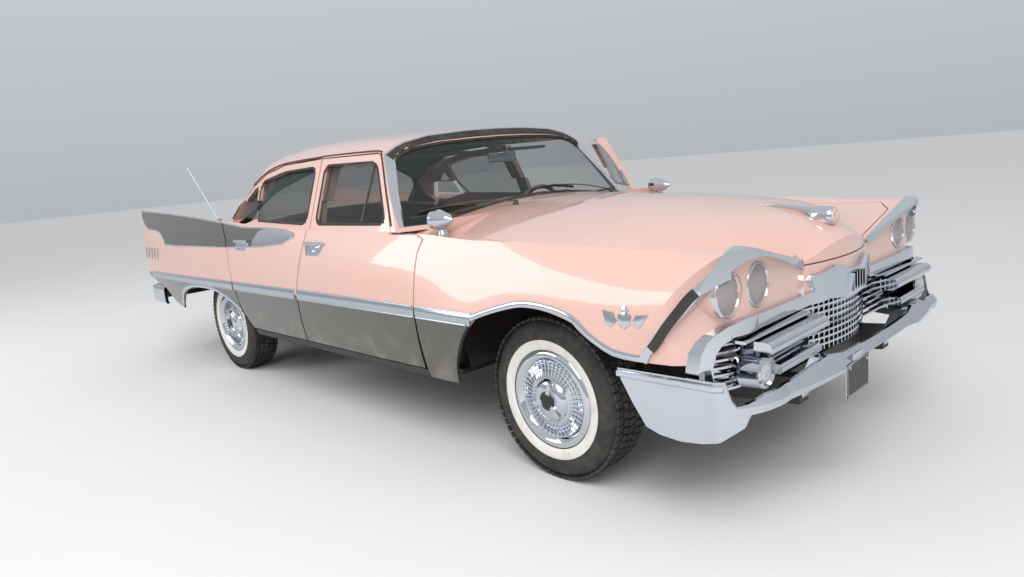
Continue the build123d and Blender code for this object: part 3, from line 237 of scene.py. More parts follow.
def pewterPaint():
    f = Finish("pewterPaint", Coat_Weight=1.0, Coat_Roughness=paint["coatRough"], Metallic=0.75)
    f.set("Base Color", pewterColour(f))
    f.set("Roughness", 0.32 + f.noise(6, 4) * 0.08)
    f.grain(*paint["peel"])
    return f.material


chrome = {  # colour, and how much the haze roughens it
    "chromePlate": ((0.60, 0.635, 0.69), 0.08),
    "dullChrome": ((0.55, 0.56, 0.58), 0.25),
    "lampBowl": ((0.62, 0.65, 0.68), 0.05),
}


def plated(name):
    colour, smear = chrome[name]
    f = Finish(name, Metallic=1.0)
    haze = f.noise(7, 5, 0.6).between(0.4, 0.8)
    pits = f.cells(260).between(0.0, 0.08)
    f.set("Base Color", f.mix(haze * 0.5, colour, shade(colour, 0.86)))
    f.set("Roughness", 0.045 + haze * smear + (1 - pits) * 0.05)
    f.grain(30, 2, 0.04, 0.0008)
    return f.material


def brushedTrim():
    f = Finish("brushedTrim", Metallic=1.0)
    streak = f.noise(40, 4, 0.6, f.stretched((1.2, 30, 30)))
    f.set("Base Color", f.mix(streak, (0.40, 0.45, 0.52), (0.56, 0.60, 0.66)))
    f.set("Roughness", 0.16 + streak * 0.14)
    f.set("Normal", f.bump(streak, 0.08, 0.0006))
    return f.material


glass = {"tint": (0.02, 0.032, 0.030), "clear": 0.28, "edge": 0.75, "grime": 0.035, "bend": 1.7}


def windowGlass():
    # clear from the front, more of a mirror towards its edge
    f = Finish("windowGlass", Roughness=0.02, IOR=glass["bend"], Base_Color=glass["tint"])
    facing = f.node("ShaderNodeLayerWeight", {}, {"Blend": 0.35}, give="Facing")
    grime = f.noise(5, 5, 0.6).between(0.5, 0.85)
    f.set("Alpha", (glass["clear"] + facing ** 3 * glass["edge"] + grime * glass["grime"]).held())
    f.material.surface_render_method = "BLENDED"
    return f.material


def lampGlass():
    # upright flutes
    f = Finish("lampGlass", Roughness=0.04, Base_Color=(0.42, 0.46, 0.48), IOR=1.6)
    flutes = (f.axes()[1] * 900).wave().between(-1, 1)
    f.set("Alpha", 0.28 + flutes * 0.22)
    f.set("Normal", f.bump(flutes, 0.5, 0.002))
    f.material.surface_render_method = "BLENDED"
    return f.material


def mouldedLens(name, deep, pale):
    f = Finish(name, Roughness=0.12, Coat_Weight=1.0)
    prisms = f.cells(160).between(0.0, 0.6)
    f.set("Base Color", f.mix(prisms, deep, pale))
    f.set("Normal", f.bump(prisms, 0.4, 0.002))
    return f.material


wear = {  # patches: scale, detail and roughness of the noise; spread: where they start and are full
    "rubber": {"patches": (14, 6, 0.6), "spread": (0.35, 0.75), "share": 1.0, "wornRough": 0.25,
               "grain": (180, 4, 0.25, 0.0008), "shine": 0.35},
    "whitewall": {"patches": (11, 6, 0.65), "spread": (0.42, 0.80), "share": 0.6, "wornRough": 0.20,
                  "grain": (160, 4, 0.12, 0.0006), "shine": 0.30},
    "satin": {"patches": (7, 6, 0.6), "spread": (0.45, 0.80), "share": 0.6, "wornRough": 0.30,
              "grain": (120, 3, 0.12, 0.0008), "shine": 0.50},
}


def wornFinish(name, kind, clean, rough, dirty=(0.10, 0.085, 0.07)):
    # a plain colour with worn or dirty patches
    s = wear[kind]
    f = Finish(name, Specular_IOR_Level=s["shine"])
    worn = f.noise(*s["patches"]).between(*s["spread"])
    f.set("Base Color", f.mix(worn * s["share"], clean, dirty))
    f.set("Roughness", rough + worn * s["wornRough"])
    f.grain(*s["grain"])
    return f.material


def wovenCloth(name, warp, weft, pitch):
    f = Finish(name, Specular_IOR_Level=0.2, Sheen_Weight=0.25)
    x, y, z = f.axes()
    over = (y * pitch).wave() * ((x + z) * pitch).wave()
    weave = over.between(-0.8, 0.8)
    tone = f.noise(5, 4).between(0.3, 0.8)
    f.set("Base Color", f.mix(weave * 0.6 + tone * 0.25, warp, weft))
    f.set("Roughness", 0.78 + weave * 0.12)
    f.set("Normal", f.bump(weave + f.noise(500, 2) * 0.4, 0.35, 0.0006))
    return f.material


def grainedVinyl(name, colour):
    f = Finish(name, Specular_IOR_Level=0.45)
    grain = f.cells(420).between(0.0, 0.5)
    tone = f.noise(6, 4).between(0.3, 0.8)
    f.set("Base Color", f.mix(tone * 0.4, colour, shade(colour, 0.7)))
    f.set("Roughness", 0.42 + grain * 0.15)
    f.set("Normal", f.bump(grain, 0.25, 0.0006))
    return f.material


finishes = {
    "bodyPaint": bodyPaint("bodyPaint", True),
    "pinkPaint": bodyPaint("pinkPaint", False),
    "pewterPaint": pewterPaint(),
    "brushedTrim": brushedTrim(),
    "windowGlass": windowGlass(),
    "lampGlass": lampGlass(),
    "redLens": mouldedLens("redLens", (0.16, 0.003, 0.003), (0.55, 0.015, 0.012)),
    "parkLens": mouldedLens("parkLens", (0.22, 0.23, 0.24), (0.62, 0.63, 0.64)),
    "blackRubber": wornFinish("blackRubber", "rubber", (0.028, 0.027, 0.026), 0.62, (0.075, 0.068, 0.06)),
    "whiteRubber": wornFinish("whiteRubber", "whitewall", (0.78, 0.76, 0.70), 0.55, (0.50, 0.45, 0.38)),
    "seatCloth": wovenCloth("seatCloth", (0.03, 0.03, 0.032), (0.16, 0.15, 0.15), 900),
    "headCloth": wovenCloth("headCloth", (0.13, 0.125, 0.12), (0.20, 0.19, 0.18), 1400),
    "vinylTrim": grainedVinyl("vinylTrim", (0.10, 0.085, 0.08)),
    "ivoryPlastic": grainedVinyl("ivoryPlastic", (0.45, 0.30, 0.26)),
}
satinColours = {  # colour and roughness
    "darkInlay": ((0.03, 0.028, 0.026), 0.35),
    "chassisPaint": ((0.022, 0.022, 0.022), 0.5),
    "steelGrey": ((0.16, 0.155, 0.15), 0.4),
    "ironPaint": ((0.05, 0.06, 0.065), 0.45),
    "dashPaint": ((0.10, 0.10, 0.10), 0.3),
    "darkGap": ((0.008, 0.008, 0.008), 0.8),
    "plateBlack": ((0.012, 0.013, 0.014), 0.35),
}
finishes.update({name: plated(name) for name in chrome})
finishes.update({name: wornFinish(name, "satin", *look) for name, look in satinColours.items()})
print("finishes made:", len(finishes))


sides, ends = ("left", "right"), ("front", "rear")
nodeFinishes = {
    "bodyPaint": [f"{panel}_{side}"
                  for panel in ("front_fender", "quarter_panel", "door_front", "door_rear")
                  for side in sides],
    "pinkPaint": ["nose_panel", "headlamps", "hood", "trunk_lid", "cowl", "rear_bulkhead",
                  "roof_and_pillars"],
    "pewterPaint": ["rear_panel"],
    "chromePlate": ["front_bumper", "rear_bumper", "grille", "grille_surround", "headlamp_brows", "mirrors",
                    "aerial"] + [f"wheel_{end}_{side}" for end in ends for side in sides],
    "windowGlass": ["windshield", "rear_window"] + [f"door_glass_{end}_{side}" for end in ends
                                                    for side in sides],
    "redLens": ["tail_lamps"],
    "blackRubber": [f"tyre_{end}_{side}" for end in ends for side in sides],
    "chassisPaint": ["chassis_frame", "floor_pan", "front_suspension", "rear_axle", "radiator"],
    "ironPaint": ["engine", "knuckle_left", "knuckle_right"],
    "steelGrey": ["exhaust_system", "fuel_tank"],
    "seatCloth": ["front_seat", "rear_seat"],
    "dashPaint": ["dashboard"],
    "ivoryPlastic": ["steering_wheel"],
}
for finish, names in nodeFinishes.items():
    for name in names:
        mesh = nodes[name].data
        mesh.materials.clear()
        mesh.materials.append(finishes[finish])

studio = {
    "cameraPlace": (3.48636, -2.84504, 1.30526),
    "yaw": 136.682, "pitch": -10.2004, "roll": -5.2716,
    "lens": 25.334,
    "floorColour": (0.80, 0.80, 0.79), "floorReach": 60,
    "skyLow": (0.60, 0.62, 0.65), "skyHigh": (0.95, 0.97, 1.0),
    "skyFrom": -0.05, "skyTo": 0.55, "skyPower": 0.75,
    "lights": [  # name, place, what it is aimed at, size and power
        ("keyLight", (5.0, -5.0, 6.5), (0, 0, 0.6), (5, 5), 420),
        ("fillLight", (-5.0, -6.5, 4.5), (-0.5, 0, 0.6), (5, 3), 170),
    ],
}


def makeCamera():
    yaw, pitch, roll = (math.radians(studio[k]) for k in ("yaw", "pitch", "roll"))
    ahead = Vector((math.cos(yaw) * math.cos(pitch), math.sin(yaw) * math.cos(pitch), math.sin(pitch)))
    right = ahead.cross(Vector((0, 0, 1))).normalized()
    up = right.cross(ahead)
    turnedRight = right * math.cos(roll) + up * math.sin(roll)
    turnedUp = up * math.cos(roll) - right * math.sin(roll)
    data = bpy.data.cameras.new("mainCamera")
    data.sensor_width = 36
    data.lens = studio["lens"]
    data.clip_end = 200
    camera = bpy.data.objects.new("mainCamera", data)
    bpy.context.scene.collection.objects.link(camera)
    turn = Matrix((turnedRight, turnedUp, -ahead)).transposed()
    camera.matrix_world = Matrix.Translation(studio["cameraPlace"]) @ turn.to_4x4()
    bpy.context.scene.camera = camera


def makeLight(name, place, target, size, power):
    data = bpy.data.lights.new(name, "AREA")
    data.shape, data.size, data.size_y = "RECTANGLE", size[0], size[1]
    data.energy = power
    lamp = bpy.data.objects.new(name, data)
    bpy.context.scene.collection.objects.link(lamp)
    lamp.location = place
    lamp.rotation_euler = (Vector(target) - Vector(place)).to_track_quat("-Z", "Y").to_euler()


def makeWorld():
    world = bpy.data.worlds.new("studioSky")
    bpy.context.scene.world = world
    world.use_nodes = True
    tree = world.node_tree
    tree.nodes.clear()
    coordinate = tree.nodes.new("ShaderNodeTexCoord")
    split = tree.nodes.new("ShaderNodeSeparateXYZ")
    height = tree.nodes.new("ShaderNodeMapRange")
    height.inputs["From Min"].default_value = studio["skyFrom"]
    height.inputs["From Max"].default_value = studio["skyTo"]
    blend = tree.nodes.new("ShaderNodeMix")
    blend.data_type = "RGBA"
    blend.inputs[6].default_value = (*studio["skyLow"], 1)
    blend.inputs[7].default_value = (*studio["skyHigh"], 1)
    sky = tree.nodes.new("ShaderNodeBackground")
    output = tree.nodes.new("ShaderNodeOutputWorld")
    tree.links.new(coordinate.outputs["Generated"], split.inputs[0])
    tree.links.new(split.outputs[2], height.inputs["Value"])
    tree.links.new(height.outputs[0], blend.inputs[0])
    tree.links.new(blend.outputs[2], sky.inputs[0])
    tree.links.new(sky.outputs[0], output.inputs[0])
    sky.inputs[1].default_value = studio["skyPower"]


def makeFloor():
    mesh = bpy.data.meshes.new("studioFloor")
    reach = studio["floorReach"]
    mesh.from_pydata([(-reach, -reach, 0), (reach, -reach, 0), (reach, reach, 0), (-reach, reach, 0)], [],
                     [(0, 1, 2, 3)])
    floor = bpy.data.objects.new("studioFloor", mesh)
    bpy.context.scene.collection.objects.link(floor)
    f = Finish("floorPaint", Roughness=0.9)
    f.set("Base Color", f.mix(f.noise(1.5, 5), studio["floorColour"], shade(studio["floorColour"], 0.96)))
    mesh.materials.append(f.material)


makeCamera()
makeWorld()
makeFloor()
for light in studio["lights"]:
    makeLight(*light)
bpy.context.scene.view_settings.view_transform = "Standard"
print("studio ready")

hingeFront = (0.8715, 1.007)  # where the front doors turn
doorAngle = math.radians(-42)  # how far the left one stands open
sideBodies = {  # the bodies that a piece and its mirror ride on
    "body": ("body", "body"),
    "doorFront": ("door_front_right", "door_front_left"),
    "doorRear": ("door_rear_right", "door_rear_left"),
}


def shaded(mesh, angle):
    # smooth, with sharp edges past this many degrees
    mesh.shade_smooth()
    mesh.set_sharp_from_angle(angle=math.radians(angle))
    return mesh


def meshFrom(name, points, faces, angle=35):
    # a closed or open skin, its normals outwards
    mesh = bpy.data.meshes.new(name)
    mesh.from_pydata([tuple(p) for p in points], [], faces)
    faceOut(mesh)
    return shaded(mesh, angle)


def faceOut(mesh):
    made = bmesh.new()
    made.from_mesh(mesh)
    bmesh.ops.remove_doubles(made, verts=made.verts, dist=1e-6)
    bmesh.ops.recalc_face_normals(made, faces=made.faces)
    made.to_mesh(mesh)
    made.free()
    mesh.update()


def put(name, mesh, body, *finish):
    # a finished piece, at the origin, riding on its body
    obj = bpy.data.objects.new(name, mesh)
    bpy.context.scene.collection.objects.link(obj)
    mesh.materials.clear()
    for key in finish:
        mesh.materials.append(finishes[key])
    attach(obj, body)
    return obj


def mirrored(mesh):
    copy = mesh.copy()
    copy.transform(Matrix.Scale(-1, 4, (0, 1, 0)))
    copy.flip_normals()
    return copy


def opened(mesh):
    # swings a left front door's piece with its door
    centre = Vector((*hingeFront, 0))
    turn = Matrix.Translation(centre) @ Matrix.Rotation(doorAngle, 4, "Z") @ Matrix.Translation(-centre)
    mesh.transform(turn)
    return mesh


def putBoth(name, mesh, key, *finish):
    # the piece as modelled on the right side, and its mirror on the left
    right, left = sideBodies[key]
    other = mirrored(mesh)
    if key == "doorFront":
        opened(other)
    return [put(name + "Right", mesh, right, *finish), put(name + "Left", other, left, *finish)]


def joined(name, meshes):
    # several meshes with the same material slots as one
    made = bmesh.new()
    for mesh in meshes:
        made.from_mesh(mesh)
    result = bpy.data.meshes.new(name)
    made.to_mesh(result)
    made.free()
    return result


def lathe(name, profile, centre, axis, segments=64, closed=True, angle=35):
    # profile is radius and height along the axis; a radius of 0 closes on the axis
    axis = Vector(axis).normalized()
    side = axis.orthogonal().normalized()
    other = axis.cross(side)
    points, rings = [], []
    for radius, height in profile:
        base = Vector(centre) + axis * height
        if radius < 1e-6:
            rings.append([len(points)] * segments)
            points.append(base)
            continue
        rings.append(list(range(len(points), len(points) + segments)))
        for i in range(segments):
            turn = 2 * math.pi * i / segments
            points.append(base + (side * math.cos(turn) + other * math.sin(turn)) * radius)
    faces = []
    pairs = list(zip(rings, rings[1:]))
    if closed and profile[0][0] > 1e-6 and profile[-1][0] > 1e-6:
        pairs.append((rings[-1], rings[0]))
    for low, high in pairs:
        for i in range(segments):
            j = (i + 1) % segments
            faces.append(list(dict.fromkeys([low[i], low[j], high[j], high[i]])))
    return meshFrom(name, points, [face for face in faces if len(face) > 2], angle)


def boxMesh(name, low, high, bevel=0.0, segments=2):
    made = bmesh.new()
    bmesh.ops.create_cube(made, size=1.0)
    size = Vector(high) - Vector(low)
    middle = (Vector(high) + Vector(low)) / 2
    for vert in made.verts:
        vert.co = Vector((vert.co.x * size.x, vert.co.y * size.y, vert.co.z * size.z)) + middle
    if bevel:
        bmesh.ops.bevel(made, geom=made.edges[:], offset=bevel, segments=segments, profile=0.5,
                        affect="EDGES")
    mesh = bpy.data.meshes.new(name)
    made.to_mesh(mesh)
    made.free()
    return shaded(mesh, 40)


def lerpAlong(points, x):
    # height of a polyline of (x, z) at this x
    run = sorted(points)
    return float(np.interp(x, [p[0] for p in run], [p[1] for p in run]))


def smoothRun(points, step=0.015, closed=False, rounding=0.0):
    # evenly spaced points on a Catmull-Rom run, or a polyline with rounded corners
    points = [Vector(p) for p in points]
    if rounding:
        count = len(points)
        dense = []
        for i, corner in enumerate(points):
            if not closed and i in (0, count - 1):
                dense.append(corner)
                continue
            before, after = points[i - 1], points[(i + 1) % count]
            cut = min(rounding, (before - corner).length * 0.45, (after - corner).length * 0.45)
            start = corner + (before - corner).normalized() * cut
            end = corner + (after - corner).normalized() * cut
            for k in range(9):
                t = k / 8
                dense.append(start * (1 - t) ** 2 + corner * 2 * t * (1 - t) + end * t ** 2)
    else:
        dense = []
        count = len(points)
        spans = count if closed else count - 1
        for i in range(spans):
            p0 = points[(i - 1) % count] if closed or i > 0 else points[0] * 2 - points[1]
            p1, p2 = points[i], points[(i + 1) % count]
            p3 = points[(i + 2) % count] if closed or i + 2 < count else p2 * 2 - p1
            for k in range(12):
                t = k / 12
                dense.append(0.5 * ((2 * p1) + (p2 - p0) * t + (2 * p0 - 5 * p1 + 4 * p2 - p3) * t ** 2
                                    + (3 * p1 - p0 - 3 * p2 + p3) * t ** 3))
        if not closed:
            dense.append(points[-1])
    if closed:
        dense.append(dense[0])
    lengths = np.cumsum([0] + [(b - a).length for a, b in zip(dense, dense[1:])])
    amount = max(2, int(round(lengths[-1] / step)) + 1)
    places = np.linspace(0, lengths[-1], amount)
    coords = np.array([list(p) for p in dense])
    made = np.stack([np.interp(places, lengths, coords[:, k]) for k in range(coords.shape[1])], 1)
    made = [Vector(p) for p in made]
    return made[:-1] if closed else made


def offsetLoop(points, amount):
    # a closed side-view outline moved outwards
    points = [Vector(p) for p in points]
    count = len(points)
    area = sum(points[i].x * points[(i + 1) % count].y - points[(i + 1) % count].x * points[i].y
               for i in range(count))
    sign = 1 if area > 0 else -1
    moved = []
    for i in range(count):
        a = (points[i] - points[i - 1]).normalized()
        b = (points[(i + 1) % count] - points[i]).normalized()
        na, nb = Vector((a.y, -a.x)) * sign, Vector((b.y, -b.x)) * sign
        bisector = (na + nb).normalized()
        moved.append(points[i] + bisector * amount / max(0.4, bisector.dot(na)))
    return [tuple(p) for p in moved]


def skinOf(*names):
    # ray-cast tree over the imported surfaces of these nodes
    points, faces = [], []
    for name in names:
        mesh = nodes[name].data
        base = len(points)
        points += [v.co.copy() for v in mesh.vertices]
        faces += [[base + i for i in p.vertices] for p in mesh.polygons]
    return BVHTree.FromPolygons(points, faces)


rays = {  # where a ray starts and its direction, for a point given by two coordinates
    "side": lambda a, b: (Vector((a, -1.6, b)), Vector((0, 1, 0))),
    "inside": lambda a, b: (Vector((a, -0.3, b)), Vector((0, -1, 0))),
    "front": lambda a, b: (Vector((3.4, a, b)), Vector((-1, 0, 0))),
    "rear": lambda a, b: (Vector((-3.6, a, b)), Vector((1, 0, 0))),
    "top": lambda a, b: (Vector((a, b, 2.2)), Vector((0, 0, -1))),
    "up": lambda a, b: (Vector((a, b, 1.05)), Vector((0, 0, 1))),
}


def onSkin(skin, a, b, aim="side"):
    # where the ray meets the skin, and which way the skin faces there
    start, direction = rays[aim](a, b)
    place, normal = skin.ray_cast(start, direction)[:2]
    if place is None:
        return None
    return place, -normal if normal.dot(direction) > 0 else normal


def nearSkin(skin, a, b, middle):
    # the hit at this point, or the nearest one on the way to the middle of the span
    for share in np.linspace(0, 1, 60):
        hit = onSkin(skin, a + (middle - a) * share, b)
        if hit:
            return hit
    raise ValueError(f"no panel near {a:.3f}, {b:.3f}")


def laid(skin, run, aim="side"):
    # the points of a flat run that meet the skin, with smoothed outward directions
    hits = [onSkin(skin, p[0], p[1], aim) for p in run]
    hits = [h for h in hits if h]
    count = len(hits)
    places, outs = [], []
    for i in range(count):
        near = hits[max(0, i - 2):i + 3]
        places.append(hits[i][0])
        outs.append(sum((h[1] for h in near), Vector()).normalized())
    return places, outs


class Growth:
    # one Geometry Nodes tree with named inputs
    def __init__(self, name, inputs):
        self.tree = bpy.data.node_groups.new(name, "GeometryNodeTree")
        face = self.tree.interface
        face.new_socket("Geometry", in_out="INPUT", socket_type="NodeSocketGeometry")
        self.names = {}
        for label, kind, value in inputs:
            socket = face.new_socket(label, in_out="INPUT", socket_type=kind)
            if value is not None:
                socket.default_value = value
            self.names[label] = socket.identifier
        face.new_socket("Geometry", in_out="OUTPUT", socket_type="NodeSocketGeometry")
        self.entry = self.tree.nodes.new("NodeGroupInput")
        self.exit = self.tree.nodes.new("NodeGroupOutput")

    def given(self, label):
        return self.entry.outputs[label]

    def node(self, kind, settings=None, values=None):
        made = self.tree.nodes.new(kind)
        for key, value in (settings or {}).items():
            setattr(made, key, value)
        for key, value in (values or {}).items():
            if isinstance(value, bpy.types.NodeSocket):
                self.tree.links.new(value, made.inputs[key])
            else:
                made.inputs[key].default_value = value
        return made

    def finish(self, geometry, material):
        real = self.node("GeometryNodeRealizeInstances", {}, {"Geometry": geometry})
        done = self.node("GeometryNodeSetMaterial", {}, {"Geometry": real.outputs[0], "Material": material})
        self.tree.links.new(done.outputs[0], self.exit.inputs[0])

    def grow(self, name, base, values, angle=35):
        obj = bpy.data.objects.new(name, base)
        bpy.context.scene.collection.objects.link(obj)
        modifier = obj.modifiers.new("grow", "NODES")
        modifier.node_group = self.tree
        for label, value in values.items():
            modifier[self.names[label]] = value
        graph = bpy.context.evaluated_depsgraph_get()
        graph.update()
        mesh = bpy.data.meshes.new_from_object(obj.evaluated_get(graph), depsgraph=graph)
        obj.modifiers.remove(modifier)
        bpy.data.objects.remove(obj)
        mesh.name = name
        return shaded(mesh, angle)


def mouldingTree():
    g = Growth("moulding", [("Width", "NodeSocketFloat", 0.02), ("Thickness", "NodeSocketFloat", 0.006),
                            ("Sides", "NodeSocketInt", 10), ("Material", "NodeSocketMaterial", None)])
    curve = g.node("GeometryNodeMeshToCurve", {}, {"Mesh": g.given("Geometry")})
    out = g.node("GeometryNodeInputNamedAttribute", {"data_type": "FLOAT_VECTOR"}, {"Name": "outward"})
    aimed = g.node("GeometryNodeSetCurveNormal", {"mode": "FREE"},
                   {"Curve": curve.outputs[0], "Normal": out.outputs[0]})
    ring = g.node("GeometryNodeCurvePrimitiveCircle", {"mode": "RADIUS"},
                  {"Resolution": g.given("Sides"), "Radius": 0.5})
    size = g.node("ShaderNodeCombineXYZ", {},
                  {"X": g.given("Thickness"), "Y": g.given("Width"), "Z": 1.0})
    profile = g.node("GeometryNodeTransform", {}, {"Geometry": ring.outputs[0], "Scale": size.outputs[0]})
    swept = g.node("GeometryNodeCurveToMesh", {},
                   {"Curve": aimed.outputs[0], "Profile Curve": profile.outputs[0], "Fill Caps": True})
    g.finish(swept.outputs[0], g.given("Material"))
    return g


moulding = mouldingTree()


def pathMesh(name, places, outs, closed=False):
    # the edges that a moulding follows, with the way it faces at each
    mesh = bpy.data.meshes.new(name)
    edges = [(i, i + 1) for i in range(len(places) - 1)]
    if closed:
        edges.append((len(places) - 1, 0))
    mesh.from_pydata([tuple(p) for p in places], edges, [])
    held = mesh.attributes.new("outward", "FLOAT_VECTOR", "POINT")
    held.data.foreach_set("vector", np.array([list(o) for o in outs], np.float32).ravel())
    return mesh


def mouldingAlong(name, places, outs, width, thickness, finish, closed=False, sides=10, lift=0.0):
    places = [p + o * lift for p, o in zip(places, outs)]
    sizes = {"Width": width, "Thickness": thickness, "Sides": sides, "Material": finishes[finish]}
    return moulding.grow(name, pathMesh(name, places, outs, closed), sizes, 50)


sheetDepth = 0.002  # how far the back of a thin panel lies inside the skin


def sheetFrom(name, grid):
    # a thin closed panel from columns of places, their outward directions and how far each stands proud
    count, width = len(grid), len(grid[0])
    points = [place + out * proud for column in grid for place, out, proud in column]
    points += [place - out * sheetDepth for column in grid for place, out, proud in column]
    total, rows = count * width, width - 1
    faces = []
    for i in range(count - 1):
        for k in range(rows):
            a, b = i * width + k, (i + 1) * width + k
            faces.append((a, b, b + 1, a + 1))
            faces.append((total + a, total + a + 1, total + b + 1, total + b))
    for i in range(count - 1):
        a, b = i * width, (i + 1) * width
        faces.append((a, total + a, total + b, b))
        a, b = a + rows, b + rows
        faces.append((a, b, total + b, total + a))
    for k in range(rows):
        faces.append((k, k + 1, total + k + 1, total + k))
        a = (count - 1) * width + k
        faces.append((a, total + a, total + a + 1, a + 1))
    return meshFrom(name, points, faces, 40)


def bandOn(name, skin, upper, lower, xFrom, xTo, thick, crown, step=0.02, rows=8):
    # a thin panel on the side between two height curves
    count = max(2, int(round((xTo - xFrom) / step)) + 1)
    grid, middle = [], (xFrom + xTo) / 2
    for x in np.linspace(xFrom, xTo, count):
        top, foot = lerpAlong(upper, x), lerpAlong(lower, x)
        column = []
        for k in range(rows + 1):
            t = k / rows
            z = foot + (top - foot) * t
            place, out = nearSkin(skin, x, z, middle)
            column.append((Vector((x, place.y, z)), out, thick + crown * (1 - (2 * t - 1) ** 2)))
        grid.append(column)
    return sheetFrom(name, grid)


def frontBand(name, skin, runs, thick, rows=4):
    # a thin panel seen from the front: each run is its lower and its upper point in (y, z)
    grid = []
    for (yLow, zLow), (yHigh, zHigh) in runs:
        column = []
        for t in np.linspace(0, 1, rows + 1):
            hit = onSkin(skin, yLow + (yHigh - yLow) * t, zLow + (zHigh - zLow) * t, "front")
            if hit:
                column.append((hit[0], hit[1], thick))
        if len(column) == rows + 1:
            grid.append(column)
    return sheetFrom(name, grid)


print("helpers ready")

wheelSizes = {
    "frontY": 0.7735, "rearY": 0.758, "half": 0.098, "coreRadius": 0.265,
    "blocks": 64, "blockFoot": 0.326, "blockHalf": (0.0135, 0.0125),
    "fins": 44, "spinnerBars": 3, "nuts": 5,
    # rows of tread blocks: low and high along the axle, shift round it, lean and outer radius
    "rows": [(-0.0820, -0.0565, 0.00, -0.004, 0.3365), (-0.0475, -0.0235, 0.33, 0.004, 0.3385),
             (-0.0145, 0.0145, 0.66, -0.004, 0.3385), (0.0235, 0.0475, 0.00, 0.004, 0.3385),
             (0.0565, 0.0820, 0.33, -0.004, 0.3365)],
    "hoops": [(0.107, 0.004), (0.121, 0.003), (0.135, 0.001), (0.148, -0.002)],  # radius and how proud
    "grooves": (-0.052, -0.019, 0.019, 0.052),
}
wheelProfiles = {  # radius, and depth behind the tyre's outer face
    "bead": [(0.192, 0.027), (0.203, 0.013), (0.206, 0.0105)],
    "white": [(0.206, 0.0105), (0.211, 0.006), (0.225, 0.0022), (0.238, 0.0008), (0.245, 0.0012),
              (0.248, 0.0025)],
    "shoulder": [(0.248, 0.0025), (0.266, 0.0036), (0.285, 0.0048), (0.300, 0.0095), (0.312, 0.016),
                 (0.322, 0.026), (0.329, 0.036)],
    "dish": [(0.2045, 0.022), (0.2048, 0.016), (0.200, 0.009), (0.190, 0.004), (0.178, 0.003),
             (0.168, 0.010), (0.160, 0.019), (0.148, 0.021), (0.118, 0.016), (0.092, 0.006),
             (0.088, 0.0075), (0.084, 0.004), (0.080, -0.003), (0.066, -0.010), (0.050, -0.013),
             (0.046, -0.011), (0.040, -0.0115)],
    "centre": [(0.040, -0.0115), (0.037, -0.0155), (0.030, -0.0165), (0.0, -0.0175)],
    "rimOuter": [(0.2045, 0.022), (0.199, 0.028), (0.190, 0.030), (0.176, 0.034)],
}
innerProfiles = {  # the same from the inner face outwards
    "back": [(0.329, 0.036), (0.322, 0.026), (0.312, 0.016), (0.300, 0.0095), (0.285, 0.0048),
             (0.262, 0.0022), (0.243, 0.0008), (0.211, 0.006), (0.203, 0.013), (0.192, 0.027)],
    "rimInner": [(0.176, 0.030), (0.190, 0.024), (0.1995, 0.018), (0.2035, 0.024), (0.194, 0.034),
                 (0.180, 0.040)],
}
rimMiddle = [(0.172, -0.01), (0.168, 0.03)]  # radius and place along the axle
rimWeb = [(0.174, 0.03), (0.150, -0.018), (0.120, -0.012), (0.056, -0.004), (0.052, 0.038), (0.024, 0.038),
          (0.0233, 0.0)]


def treadTree():
    # rows of blocks round a tyre; the base mesh holds one block
    g = Growth("tread", [("Count", "NodeSocketInt", 60), ("Radius", "NodeSocketFloat", 0.33),
                         ("Shift", "NodeSocketFloat", 0.0), ("Material", "NodeSocketMaterial", None)])
    ring = g.node("GeometryNodeMeshCircle", {}, {"Vertices": g.given("Count"), "Radius": g.given("Radius")})
    index = g.node("GeometryNodeInputIndex")
    share = g.node("ShaderNodeMath", {"operation": "DIVIDE"}, {0: index.outputs[0], 1: g.given("Count")})
    shifted = g.node("ShaderNodeMath", {"operation": "ADD"}, {0: share.outputs[0], 1: g.given("Shift")})
    turn = g.node("ShaderNodeMath", {"operation": "MULTIPLY"}, {0: shifted.outputs[0], 1: 2 * math.pi})
    angles = g.node("ShaderNodeCombineXYZ", {}, {"Y": turn.outputs[0]})
    middle = g.node("ShaderNodeCombineXYZ")  # every block turns about the origin
    gathered = g.node("GeometryNodeSetPosition", {},
                      {"Geometry": ring.outputs[0], "Position": middle.outputs[0]})
    spread = g.node("GeometryNodeInstanceOnPoints", {},
                    {"Points": gathered.outputs[0], "Instance": g.given("Geometry"),
                     "Rotation": angles.outputs[0]})
    g.finish(spread.outputs[0], g.given("Material"))
    return g


tread = treadTree()


def wedge(inner, outer, halfIn, halfOut, low, high, lean=0.0):
    # a block on the Y axle, between two radii, low and high along Y, that leans round the axle
    points = []
    for y, shift in ((low, 0.0), (high, lean)):
        for radius, half in ((inner, halfIn), (outer, halfOut)):
            points.append((-half + shift, y, radius))
            points.append((half + shift, y, radius))
    faces = [(0, 1, 3, 2), (4, 6, 7, 5), (0, 4, 5, 1), (2, 3, 7, 6), (0, 2, 6, 4), (1, 5, 7, 3)]
    mesh = bpy.data.meshes.new("wedge")
    mesh.from_pydata(points, [], faces)
    faceOut(mesh)
    return mesh


def fromFace(label):
    # a profile as radius and place along the axle
    half = wheelSizes["half"]
    if label in innerProfiles:
        return [(radius, half - depth) for radius, depth in innerProfiles[label]]
    return [(radius, depth - half) for radius, depth in wheelProfiles[label]]


def turned(name, profile, segments=96, angle=35):
    # an open part revolved about the axle
    return lathe(name, profile, (0, 0, 0), (0, 1, 0), segments, closed=False, angle=angle)


